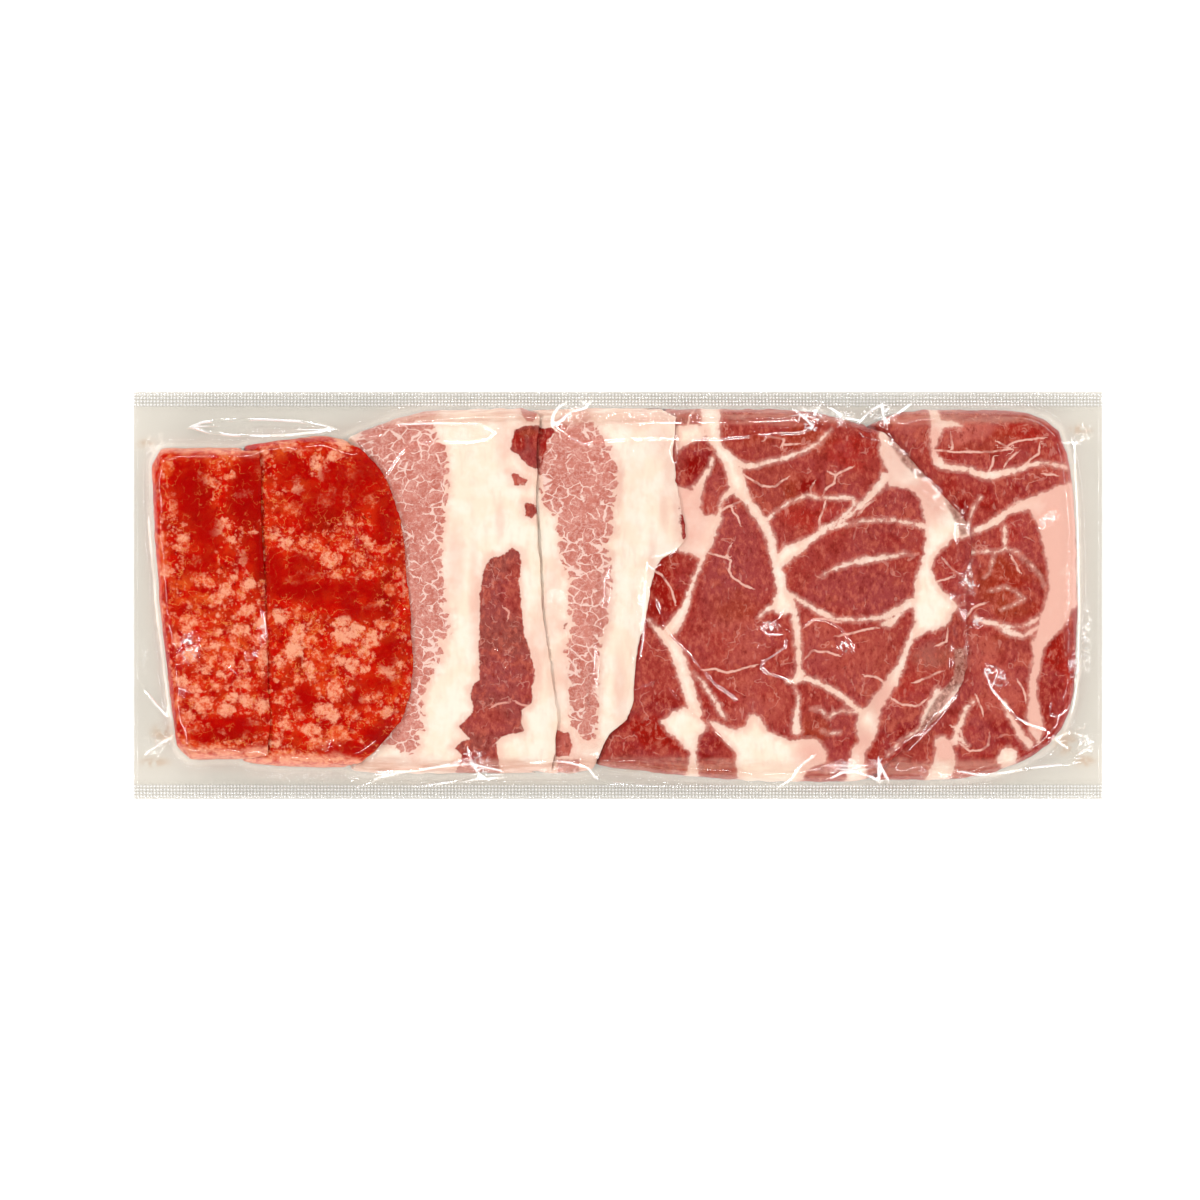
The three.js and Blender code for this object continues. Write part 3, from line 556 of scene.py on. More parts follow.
SPICED_RIGHT = {
    "pieces": [
        (342, 438, 10, 13, 0, 1.8), (318, 468, 5, 11, 25, 1.2), (334, 456, 8, 7, 20, 0.8),
        (297, 487, 5, 8, 10, 0.9), (322, 464, 4, 8, 30, 0.7), (284, 445, 10, 5, 0, 0.7), (266, 451, 6, 5, 0, 0.7),
        (294, 508, 12, 8, 0, 0.4), (276, 536, 5, 7, 0, 0.7), (287, 543, 9, 6, -30, 0.9), (303, 540, 8, 5, 20, 0.6),
        (333, 494, 6, 8, 0, 0.6), (345, 497, 5, 6, 0, 0.5), (331, 560, 11, 9, -10, 0.7), (345, 545, 9, 6, 20, 0.5),
        (316, 547, 12, 6, -10, 0.5), (306, 555, 8, 4, 0, 0.5), (349, 520, 5, 8, 0, 0.6), (367, 541, 8, 5, -40, 0.7),
        (384, 548, 7, 5, 0, 0.6), (368, 575, 7, 5, 0, 0.6), (335, 576, 8, 4, 0, 0.6), (279, 616, 7, 9, 20, 0.9),
        (297, 635, 8, 12, -20, 0.8), (294, 650, 11, 9, 0, 1.0), (310, 670, 6, 11, 25, 0.8),
        (281, 660, 7, 5, 30, 0.9), (340, 622, 10, 5, 30, 0.9), (345, 636, 14, 10, 0, 0.9),
        (355, 632, 10, 9, 20, 1.0), (373, 640, 12, 8, 40, 0.8), (366, 652, 8, 8, 0, 0.7), (340, 660, 8, 6, 0, 0.8),
        (352, 665, 8, 8, 0, 0.8), (365, 668, 6, 5, 0, 0.7), (388, 672, 12, 6, -25, 0.8), (400, 664, 7, 4, -20, 0.6),
        (352, 688, 5, 4, 0, 0.8), (334, 690, 9, 11, 0, 0.7), (325, 710, 11, 8, -10, 0.8), (332, 716, 8, 7, 0, 0.9),
        (285, 722, 8, 8, 0, 0.7), (300, 715, 6, 6, 0, 0.6), (312, 730, 12, 7, 0, 0.7), (275, 742, 9, 5, -10, 0.9),
        (318, 744, 12, 7, 0, 0.6), (338, 735, 12, 12, 0, 0.4), (365, 698, 7, 5, 20, 0.6), (388, 712, 7, 6, 20, 0.8),
        (378, 695, 8, 6, 0, 0.5), (298, 680, 5, 5, 0, 0.6), (280, 700, 6, 5, 0, 0.7), (300, 757, 30, 5, 0, 0.6),
        (335, 758, 16, 6, 0, 0.5), (280, 755, 20, 5, 0, 0.5), (375, 605, 8, 4, 20, 0.5), (300, 612, 6, 4, 0, 0.4),
        (310, 640, 7, 7, 0, 0.5), (318, 655, 6, 6, 0, 0.5), (382, 625, 7, 5, 0, 0.6), (325, 500, 10, 8, 0, 0.5),
        (355, 475, 10, 8, 0, 0.3), (370, 500, 8, 6, 0, 0.4), (310, 575, 12, 5, 0, 0.5), (295, 580, 8, 5, 0, 0.4),
        (360, 560, 7, 6, 0, 0.5), (390, 590, 6, 8, 0, 0.4), (394, 625, 4, 6, 0, 0.5), (350, 710, 6, 6, 0, 0.5),
        (296, 700, 5, 5, 0, 0.5)
    ],
    "shade": [(325, 520, 30, 24), (300, 590, 40, 14), (385, 600, 16, 40), (300, 660, 8, 30), (385, 740, 30, 20)],
    "fringe": (436, 756),
    "red": [
        (325, 500, 44, 26), (340, 592, 60, 16), (300, 575, 30, 12), (290, 470, 18, 20), (335, 475, 22, 14),
        (300, 590, 34, 14), (330, 600, 34, 12), (360, 610, 30, 12), (388, 655, 14, 20), (380, 685, 24, 12),
        (355, 700, 12, 14), (275, 575, 12, 30), (300, 560, 18, 10), (340, 750, 30, 12), (375, 735, 16, 12),
        (365, 480, 22, 30), (305, 700, 14, 20), (385, 520, 14, 30)
    ],
    "orange": [
        (300, 500, 24, 26), (280, 450, 20, 14), (330, 680, 22, 30), (395, 690, 12, 30), (300, 640, 30, 40),
        (350, 640, 40, 30), (355, 440, 16, 12)
    ],
}

SLICES = {
    "spiced_slice_left": ("spiced_meat_left", SPICED_LEFT),
    "spiced_slice_right": ("spiced_meat_right", SPICED_RIGHT),
    "belly_slice_left": ("belly_meat_left", BELLY_LEFT),
    "belly_slice_right": ("belly_meat_right", BELLY_RIGHT),
    "collar_slice_left": ("collar_meat_left", COLLAR_LEFT),
    "collar_slice_right": ("collar_meat_right", COLLAR_RIGHT),
}

# creases that stand up in the film (x, y), with their height in mm
CREASES = {
    "lens_top": (0.8, [(188, 426), (200, 421), (225, 419), (260, 418), (295, 420), (320, 424), (333, 428)]),
    "lens_low": (0.8, [(188, 426), (205, 431), (230, 434), (262, 435), (290, 434), (318, 431), (333, 428)]),
    "channel_one": (0.6, [
        (388, 475), (400, 456), (413, 444), (440, 443), (470, 443), (488, 440), (496, 433), (480, 425), (440, 424),
        (400, 425)
    ]),
    "channel_two": (0.5, [
        (553, 426), (566, 436), (584, 445), (598, 442), (640, 440), (680, 440), (720, 440), (750, 437), (785, 434),
        (799, 434), (810, 430)
    ]),
    "top_line": (0.4, [(610, 426), (635, 425), (680, 424), (724, 424), (760, 423), (795, 421)]),
    "star_one": (1.3, [(796, 411), (806, 420), (812, 428), (815, 412), (822, 404)]),
    "star_two": (1.3, [(833, 408), (842, 414), (838, 424), (846, 418), (856, 419)]),
    "star_three": (1.4, [(861, 421), (872, 410), (884, 403), (884, 422), (900, 412), (912, 403)]),
    "star_four": (1.2, [(565, 402), (558, 407), (553, 416), (552, 426), (562, 421), (568, 419)]),
    "star_five": (1.3, [(563, 419), (572, 412), (586, 408), (588, 403), (583, 401), (588, 403), (596, 396)]),
    "low_one": (0.7, [(352, 790), (380, 778), (410, 771), (440, 766), (468, 758)]),
    "low_two": (0.7, [(380, 772), (415, 771), (440, 766), (470, 763), (500, 770)]),
    "low_three": (0.8, [(415, 788), (450, 783), (480, 780), (500, 779)]),
    "low_star": (0.9, [(469, 750), (473, 764), (480, 775), (488, 781)]),
    "low_four": (0.7, [
        (535, 762), (553, 760), (570, 762), (588, 768), (595, 778), (606, 784), (630, 785), (660, 788)
    ]),
    "low_five": (0.7, [(780, 788), (790, 780), (800, 764), (812, 756)]),
    "low_six": (0.9, [
        (830, 778), (842, 772), (855, 771), (870, 776), (880, 782), (878, 772), (877, 760), (885, 775), (888, 780)
    ]),
    "low_seven": (0.5, [(828, 765), (845, 765), (864, 765)]),
    "low_eight": (0.7, [(960, 771), (980, 775), (1010, 773), (1040, 768), (1080, 764)]),
    "belly_edge": (0.6, [(646, 566), (645, 590), (644, 615), (643, 640), (640, 656)]),
    "diagonal_one": (0.45, [(657, 602), (665, 627), (674, 640), (690, 655), (700, 668), (716, 685), (733, 697)]),
    "diagonal_two": (0.35, [
        (640, 687), (655, 681), (668, 687), (676, 698), (685, 705), (700, 716), (712, 726), (728, 742)
    ]),
    "hook": (0.5, [(786, 634), (785, 647), (772, 656), (762, 662), (760, 667), (768, 674), (780, 677), (791, 682)]),
    "smile": (0.6, [(782, 612), (772, 624), (760, 628), (766, 634), (778, 635), (784, 631)]),
    "arc": (0.4, [(806, 624), (815, 619), (828, 621), (840, 628), (848, 638), (852, 648)]),
    "right_sweep": (0.7, [
        (984, 672), (990, 688), (1003, 703), (1016, 718), (1030, 725), (1043, 729), (1060, 742), (1080, 756),
        (1090, 750), (1104, 757)
    ]),
    "right_corner": (0.7, [(1052, 740), (1072, 733), (1090, 738), (1100, 748)]),
    "right_wall": (0.7, [(1077, 440), (1078, 500), (1079, 560), (1080, 620), (1079, 680), (1073, 712)]),
    "right_hook": (0.5, [(1049, 706), (1048, 714), (1056, 716), (1066, 710)]),
    "left_corner": (0.7, [(133, 678), (142, 690), (152, 704), (164, 716)]),
    "left_low": (0.7, [(136, 764), (146, 752), (158, 744), (170, 738)]),
    "left_wall": (0.4, [(146, 520), (151, 570), (156, 620), (163, 670), (169, 715)]),
    "top_right": (0.6, [(1065, 443), (1080, 440), (1095, 436), (1103, 430)]),
    "seam_glint": (0.5, [(264, 612), (266, 622), (268, 634)]),
    "loop_p": (0.5, [(232, 668), (240, 675), (252, 676), (264, 674), (270, 680)]),
}
# places where the film is crumpled (x, y, half length, half width, turn, height in mm)
CRUMPLES = [
    (190, 648, 18, 26, 0, 1.0), (184, 690, 10, 10, 0, 0.7), (262, 635, 7, 22, 0, 0.8), (252, 655, 14, 10, 0, 0.6),
    (405, 609, 7, 4, 0, 0.3), (556, 600, 22, 26, 0, 0.35), (642, 612, 6, 46, 2, 0.9), (772, 594, 8, 5, 0, 0.35),
    (752, 601, 9, 4, 0, 0.3), (770, 628, 14, 12, -20, 1.0), (758, 650, 8, 18, 0, 0.3), (846, 648, 16, 8, 0, 0.9),
    (844, 646, 14, 12, 0, 0.8), (1048, 520, 20, 9, 35, 1.2), (968, 582, 18, 9, -35, 1.1),
    (978, 622, 12, 9, 10, 1.1), (970, 600, 14, 14, 0, 0.3), (995, 676, 22, 14, -40, 1.2),
    (1076, 668, 10, 22, 0, 1.1), (1068, 590, 6, 60, 0, 0.3), (136, 655, 12, 36, 0, 0.9), (812, 414, 20, 15, 0, 1.1),
    (845, 413, 16, 13, 0, 1.0), (882, 412, 22, 15, 0, 1.1), (572, 410, 22, 17, 0, 0.5), (478, 762, 20, 16, 0, 1.0),
    (560, 772, 40, 8, 0, 0.4), (1090, 740, 18, 24, 0, 0.7), (1090, 430, 16, 16, 0, 0.6), (148, 440, 18, 20, 0, 0.5),
    (150, 745, 20, 20, 0, 0.6), (700, 786, 60, 6, 0, 0.3), (960, 776, 60, 6, 0, 0.5), (690, 446, 14, 20, 0, 0.25),
    (300, 780, 120, 10, 0, 0.25), (640, 415, 90, 9, 0, 0.3), (965, 510, 5, 12, -20, 0.4), (262, 427, 70, 9, 0, 0.2),
    (855, 765, 40, 12, 0, 0.9), (498, 650, 5, 5, 0, 0.5), (505, 668, 5, 5, 0, 0.4), (330, 745, 16, 12, 0, 0.4),
    (1092, 640, 9, 50, 0, 0.85), (690, 480, 8, 30, 0, 0.2)
]

# places where meat juice is caught in the film (x, y, half length, half width)
JUICE = [
    (142, 442, 14, 6), (150, 764, 22, 7), (1085, 428, 18, 6), (1090, 763, 16, 8), (680, 770, 90, 7),
    (160, 735, 20, 14), (1070, 745, 20, 16)
]


# ---------------------------------------------------------------- measuring on the table
def smooth_noise(points, size, seed):
    """Smooth noise from -1 to 1 at points in millimetres, with lumps of about that size."""
    side = 32
    table = np.random.default_rng(seed).random((side, side, side)) * 2 - 1
    place = points / size
    low = np.floor(place).astype(int)
    part = place - low
    part = part * part * (3 - 2 * part)
    value = np.zeros(len(points))
    for corner in range(8):
        step = np.array([corner & 1, corner >> 1 & 1, corner >> 2 & 1])
        weight = np.prod(np.where(step, part, 1 - part), axis=1)
        cell = (low + step) % side
        value += weight * table[cell[:, 0], cell[:, 1], cell[:, 2]]
    return value


def rough_noise(points, size, seed, octaves=3):
    """Noise with finer and finer lumps on it."""
    total = sum(smooth_noise(points + 17.3 * o, size / 2 ** o, seed + o) * 0.5 ** o for o in range(octaves))
    return total / (2 - 0.5 ** (octaves - 1))


def line_distance(points, line):
    """Distance from each point to the edge of a line with a width at each place, and the offset from its middle.

    The offset is signed, and 1 at the line's edge.
    """
    best, offset = np.full(len(points), NOTHING), np.full(len(points), NOTHING)
    for (start, wide_a), (end, wide_b) in zip(line[:-1], line[1:]):
        along = end - start
        length = max(float(np.hypot(*along)), 1e-6)
        gone = points - start
        share = np.clip(gone @ along / length ** 2, 0, 1)
        away = np.hypot(gone[:, 0] - share * along[0], gone[:, 1] - share * along[1])
        half = (wide_a + share * (wide_b - wide_a)) / 2
        side = np.sign(along[0] * gone[:, 1] - along[1] * gone[:, 0])
        closer = away - half < best
        best = np.where(closer, away - half, best)
        offset = np.where(closer, side * away / half, offset)
    return best, offset


def area_distance(points, outline):
    """Signed distance from each point to an outline, negative inside it."""
    away = np.full(len(points), NOTHING)
    inside = np.zeros(len(points), bool)
    for start, end in zip(outline, np.roll(outline, -1, 0)):
        along, gone = end - start, points - start
        share = np.clip(gone @ along / max(float(along @ along), 1e-9), 0, 1)
        away = np.minimum(away, np.hypot(gone[:, 0] - share * along[0], gone[:, 1] - share * along[1]))
        crosses = (start[1] > points[:, 1]) != (end[1] > points[:, 1])
        rise = np.where(end[1] == start[1], 1e-9, end[1] - start[1])
        inside ^= crosses & (points[:, 0] < start[0] + (points[:, 1] - start[1]) / rise * (end[0] - start[0]))
    return np.where(inside, -away, away)


def oval_reach(points, x, y, half_length, half_width, turn=0.0):
    """How far out each point lies in an oval: 0 in its middle and 1 at its edge."""
    gone, angle = points - spot((x, y)), math.radians(turn)
    along = (gone[:, 0] * math.cos(angle) + gone[:, 1] * math.sin(angle)) / (half_length * PIXEL)
    across = (-gone[:, 0] * math.sin(angle) + gone[:, 1] * math.cos(angle)) / (half_width * PIXEL)
    return np.hypot(along, across)


def oval_share(points, x, y, half_length, half_width, turn=0.0, edge=0.5):
    """1 in the middle of an oval, falling to 0 at its edge."""
    share = np.clip((1 - oval_reach(points, x, y, half_length, half_width, turn)) / edge, 0, 1)
    return share * share * (3 - 2 * share)


def rising(value, low, high):
    """0 below low, 1 above high, smooth between."""
    share = np.clip((value - low) / (high - low), 0, 1)
    return share * share * (3 - 2 * share)


# ---------------------------------------------------------------- meshes
def only(piece):
    """Selects one object and nothing else."""
    if bpy.context.object and bpy.context.object.mode != "OBJECT":
        bpy.ops.object.mode_set(mode="OBJECT")
    bpy.ops.object.select_all(action="DESELECT")
    piece.select_set(True)
    bpy.context.view_layer.objects.active = piece
    return piece


def finished(piece, kind, **settings):
    """Puts a modifier on a piece and applies it."""
    only(piece)
    modifier = piece.modifiers.new(kind.lower(), kind)
    for key, value in settings.items():
        setattr(modifier, key, value)
    bpy.ops.object.modifier_apply(modifier=modifier.name)


def points_of(mesh):
    """The mesh's points, in millimetres."""
    places = np.empty(len(mesh.vertices) * 3, np.float32)
    mesh.vertices.foreach_get("co", places)
    return places.reshape(-1, 3).astype(float) / MM


def move_points(mesh, places):
    """Puts the mesh's points at places in millimetres."""
    mesh.vertices.foreach_set("co", (places * MM).astype(np.float32).ravel())
    mesh.update()


def facing(mesh):
    """The mesh's point normals."""
    normals = np.empty(len(mesh.vertices) * 3, np.float32)
    mesh.vertex_normals.foreach_get("vector", normals)
    return normals.reshape(-1, 3).astype(float)


def paint(mesh, name, values):
    """Keeps one number, or one colour, for each point of the mesh."""
    if values.ndim == 1:
        mesh.attributes.new(name, "FLOAT", "POINT").data.foreach_set("value", values.astype(np.float32))
    else:
        colours = np.concatenate([values, np.ones((len(values), 1))], 1).astype(np.float32)
        mesh.attributes.new(name, "FLOAT_COLOR", "POINT").data.foreach_set("color", colours.ravel())


class HeightMap:
    """The lowest or highest point of meshes over a grid of cells, in millimetres."""

    def __init__(self, cell):
        self.cell, self.low = cell, np.array(MAP_LOW)
        self.shape = tuple(int(math.ceil((MAP_HIGH[i] - MAP_LOW[i]) / cell)) + 1 for i in (1, 0))

    def cells(self, places):
        column = np.clip(np.round((places[:, 0] - self.low[0]) / self.cell).astype(int), 0, self.shape[1] - 1)
        row = np.clip(np.round((places[:, 1] - self.low[1]) / self.cell).astype(int), 0, self.shape[0] - 1)
        return row, column

    def lowest(self, places):
        heights = np.full(self.shape, NOTHING)
        np.minimum.at(heights, self.cells(places), places[:, 2])
        return spread(heights, np.minimum, NOTHING)

    def highest(self, places, start):
        heights = np.full(self.shape, float(start))
        np.maximum.at(heights, self.cells(places), places[:, 2])
        return spread(heights, np.maximum, start)


def shifted(heights, rows, columns, fill):
    """The heights moved by whole cells."""
    moved = np.full_like(heights, fill)
    tall, wide = heights.shape
    moved[max(rows, 0):tall + min(rows, 0), max(columns, 0):wide + min(columns, 0)] = \
        heights[max(-rows, 0):tall + min(-rows, 0), max(-columns, 0):wide + min(-columns, 0)]
    return moved


def spread(heights, choose, fill):
    """Each cell takes the highest or lowest of itself and its eight neighbours."""
    for rows, columns in ((0, 1), (1, 0)):
        heights = choose(heights, choose(shifted(heights, rows, columns, fill),
                                         shifted(heights, -rows, -columns, fill)))
    return heights


# ---------------------------------------------------------------- materials
class Finish:
    """A material under construction."""

    def __init__(self, name):
        self.material = bpy.data.materials.new(name)
        self.material.use_nodes = True
        self.tree = self.material.node_tree
        self.tree.nodes.clear()
        self.output = self.tree.nodes.new("ShaderNodeOutputMaterial")
        self.place = self.node("TexCoord").outputs["Object"]

    def feed(self, socket, value):
        if isinstance(value, bpy.types.NodeSocket):
            self.tree.links.new(value, socket)
        elif hasattr(value, "__len__") and len(value) == 3 and socket.type == "RGBA":
            socket.default_value = (*value, 1)
        else:
            socket.default_value = value

    def node(self, kind, settings=None, **inputs):
        node = self.tree.nodes.new("ShaderNode" + kind)
        for key, value in (settings or {}).items():
            setattr(node, key, value)
        for key, value in inputs.items():
            self.feed(node.inputs[key.replace("_", " ")], value)
        return node

    def math(self, operation, first, second=0.0):
        node = self.node("Math", {"operation": operation})
        self.feed(node.inputs[0], first)
        if operation not in ("ABSOLUTE", "SQRT"):
            self.feed(node.inputs[1], second)
        return node.outputs[0]

    def blend(self, share, first, second):
        node = self.node("Mix", {"data_type": "RGBA", "clamp_factor": True})
        self.feed(node.inputs[0], share)
        self.feed(node.inputs[6], first)
        self.feed(node.inputs[7], second)
        return node.outputs[2]

    def step(self, value, low, high, to_low=0.0, to_high=1.0):
        node = self.node("MapRange", {"interpolation_type": "SMOOTHSTEP"}, Value=value, From_Min=low, From_Max=high,
                         To_Min=to_low, To_Max=to_high)
        return node.outputs[0]

    def read(self, name):
        return self.node("Attribute", {"attribute_name": name}).outputs["Fac"]

    def read_colour(self, name):
        return self.node("Attribute", {"attribute_name": name}).outputs["Color"]

    def stretched(self, scale, turn=0.0, shift=(0.0, 0.0, 0.0)):
        node = self.node("Mapping", Vector=self.place, Location=shift, Rotation=(0, 0, math.radians(turn)),
                         Scale=scale)
        return node.outputs[0]

    def noise(self, size, detail=2.0, rough=0.5, place=None):
        node = self.node("TexNoise", Vector=place or self.place, Scale=1000 / size, Detail=detail, Roughness=rough)
        return node.outputs[0]

    def cells(self, size, feature, place):
        return self.node("TexVoronoi", {"feature": feature}, Vector=place, Scale=1000 / size)

    def warped(self, size, reach):
        """The place, pushed about by noise, by up to reach mm."""
        push = self.node("TexNoise", Vector=self.place, Scale=1000 / size, Detail=2.0).outputs["Color"]
        centred = self.node("VectorMath", {"operation": "SUBTRACT"})
        self.feed(centred.inputs[0], push)
        centred.inputs[1].default_value = (0.5, 0.5, 0.5)
        scaled = self.node("VectorMath", {"operation": "SCALE"})
        self.feed(scaled.inputs[0], centred.outputs[0])
        scaled.inputs["Scale"].default_value = reach * MM * 2
        total = self.node("VectorMath", {"operation": "ADD"})
        self.feed(total.inputs[0], self.place)
        self.feed(total.inputs[1], scaled.outputs[0])
        return total.outputs[0]

    def bump(self, height, depth, strength=1.0):
        return self.node("Bump", Height=height, Distance=depth * MM, Strength=strength).outputs[0]

    def surface(self, shader):
        self.tree.links.new(shader.outputs[0], self.output.inputs["Surface"])
        return self.material

    def flesh(self, colour, roughness, normal):
        """A moist food surface, with most of its shine left to the film on it."""
        return self.surface(self.node("BsdfPrincipled", Base_Color=colour, Roughness=roughness, Normal=normal,
                                      Specular_IOR_Level=0.03))


def fat_colour(finish, depth, look, blush):
    """Creamy in the middle of a wide piece of fat, pink near the lean."""
    mottle = finish.noise(8, 4, 0.6)
    inner = finish.blend(finish.step(mottle, 0.38, 0.62), look.fat_cream, look.fat_warm)
    near = finish.step(finish.math("ADD", depth, finish.math("MULTIPLY", finish.math("SUBTRACT", mottle, 0.5), 4.0)),
                       -2.4, -0.1)
    colour = finish.blend(finish.math("MULTIPLY", near, 0.6), inner, look.fat_pink)
    colour = finish.blend(finish.math("MULTIPLY", blush, finish.step(mottle, 0.3, 0.6, 0.7, 1.0)), colour,
                          look.fat_pink)
    streak = finish.noise(1.6, 3, 0.65, place=finish.stretched((1, 0.3, 1), 8))
    colour = finish.blend(finish.step(streak, 0.5, 0.7, 0.0, 0.2), colour, look.fat_pink)
    pale = finish.math("MULTIPLY", finish.step(streak, 0.42, 0.3, 0.0, 0.3), finish.step(blush, 0.1, 0.7, 1.0, 0.15))
    return finish.blend(pale, colour, look.fat_white)


def pressed_side(finish, colour, look):
    """The sides above and below the cut face, squeezed flat by the film: dull, with streaks along them."""
    streak = finish.noise(1.6, 3, 0.65, place=finish.stretched((0.16, 1, 1)))
    return finish.blend(finish.math("MULTIPLY", finish.read("pressed"), finish.step(streak, 0.38, 0.6, 0.35, 1.0)),
                        colour, look.pressed)


def marbling(finish, size, width, seed_shift):
    """Thin broken pale lines, as a mask."""
    wander = finish.noise(size, 3, 0.5, place=finish.stretched((1, 1, 0.3), 0, (seed_shift, seed_shift * 0.7, 0)))
    ridge = finish.math("ABSOLUTE", finish.math("SUBTRACT", wander, 0.5))
    return finish.step(ridge, width, width * 0.25)


def lean_grain(finish, look, base):
    """Lean with cooler and browner blotches, light and dark fibres and short pale dashes."""
    colour = finish.blend(finish.step(finish.noise(9, 3, 0.6), 0.42, 0.6, 0.0, 0.55), base, look.lean_mauve)
    patch = finish.noise(4.5, 4, 0.65)
    colour = finish.blend(finish.step(patch, 0.5, 0.64, 0.0, 0.5), colour, look.lean_brown)
    colour = finish.blend(finish.step(patch, 0.45, 0.3, 0.0, 0.5), colour, look.lean_shadow)
    colour = finish.blend(finish.step(patch, 0.56, 0.68, 0.0, 0.5), colour, look.lean_light)
    fibre = finish.noise(1.3, 3, 0.7, place=finish.stretched((1, 0.6, 1), 35))
    colour = finish.blend(finish.step(fibre, 0.48, 0.68, 0.0, 0.65), colour, look.lean_light)
    colour = finish.blend(finish.step(fibre, 0.46, 0.3, 0.0, 0.6), colour, look.lean_shadow)
    dash = finish.noise(1.3, 2, 0.5, place=finish.stretched((1, 0.4, 1), -40, (0.3, 0.1, 0)))
    dash = finish.math("MULTIPLY", finish.step(dash, 0.6, 0.68), finish.step(finish.noise(7, 2), 0.48, 0.64))
    return finish.blend(finish.math("MULTIPLY", dash, 0.28), colour, look.vein)


def cut_face_material(look):
    """Collar and dark belly lean with seams of fat, thin veins and wisps of marbling."""
    f = Finish("sliced_pork_lean_and_fat")
    coarse, fine = f.noise(2.2, 3, 0.6), f.noise(0.75, 1)
    wobble = f.math("ADD", f.math("MULTIPLY", f.math("SUBTRACT", coarse, 0.5), 2.2),
                    f.math("MULTIPLY", f.math("SUBTRACT", fine, 0.5), 0.55))
    depth = f.math("ADD", f.read("fat_edge"), wobble)
    fat = f.step(depth, 0.3, -0.3)
    halo = f.step(depth, 1.3, 0.0, 0.0, 0.35)
    # thin veins, drawn across their signed offset so that they stay thin between points
    offset = f.math("ABSOLUTE", f.math("ADD", f.read("vein_offset"),
                                       f.math("MULTIPLY", f.math("SUBTRACT", coarse, 0.5), 3.5)))
    vein = f.math("MULTIPLY", f.step(offset, 1.6, 0.6), f.step(f.read("vein_near"), 1.1, 0.8))
    vein = f.math("MULTIPLY", vein, f.step(f.noise(3.2, 1), 0.36, 0.5, 0.35, 1.0))
    wisps = f.math("MULTIPLY", marbling(f, 9, 0.013, 0.0), f.step(f.noise(4.5, 1), 0.46, 0.6))
    wisps = f.math("MULTIPLY", wisps, f.read("marbling"))
    lean = lean_grain(f, look, f.read_colour("lean_colour"))
    colour = f.blend(halo, lean, look.fat_pink)
    colour = f.blend(f.math("MULTIPLY", wisps, 0.35), colour, look.vein)
    colour = f.blend(f.math("MULTIPLY", vein, 0.95), colour, look.fat_pink)
    colour = f.blend(fat, colour, fat_colour(f, depth, look, f.read("blush")))
    # dull, brownish rim where the slice was cut free
    rind_depth = f.math("ADD", f.read("rind_edge"), f.math("MULTIPLY", wobble, 0.6))
    rind = f.blend(f.step(f.noise(2.0, 4, 0.7), 0.4, 0.62), look.rind, look.rind_dark)
    rind = f.blend(f.step(f.noise(1.4, 3, 0.7, place=f.stretched((1, 1, 1), 0, (0.7, 0, 0))), 0.52, 0.68, 0.0, 0.8),
                   rind, look.fat_pink)
    colour = f.blend(f.math("MULTIPLY", f.step(rind_depth, 0.6, -0.5), 0.85), colour, rind)
    colour = pressed_side(f, colour, look)
    normal = f.bump(f.noise(1.6, 2, 0.65), 0.35, 0.5)
    return f.flesh(colour, 0.4, normal)


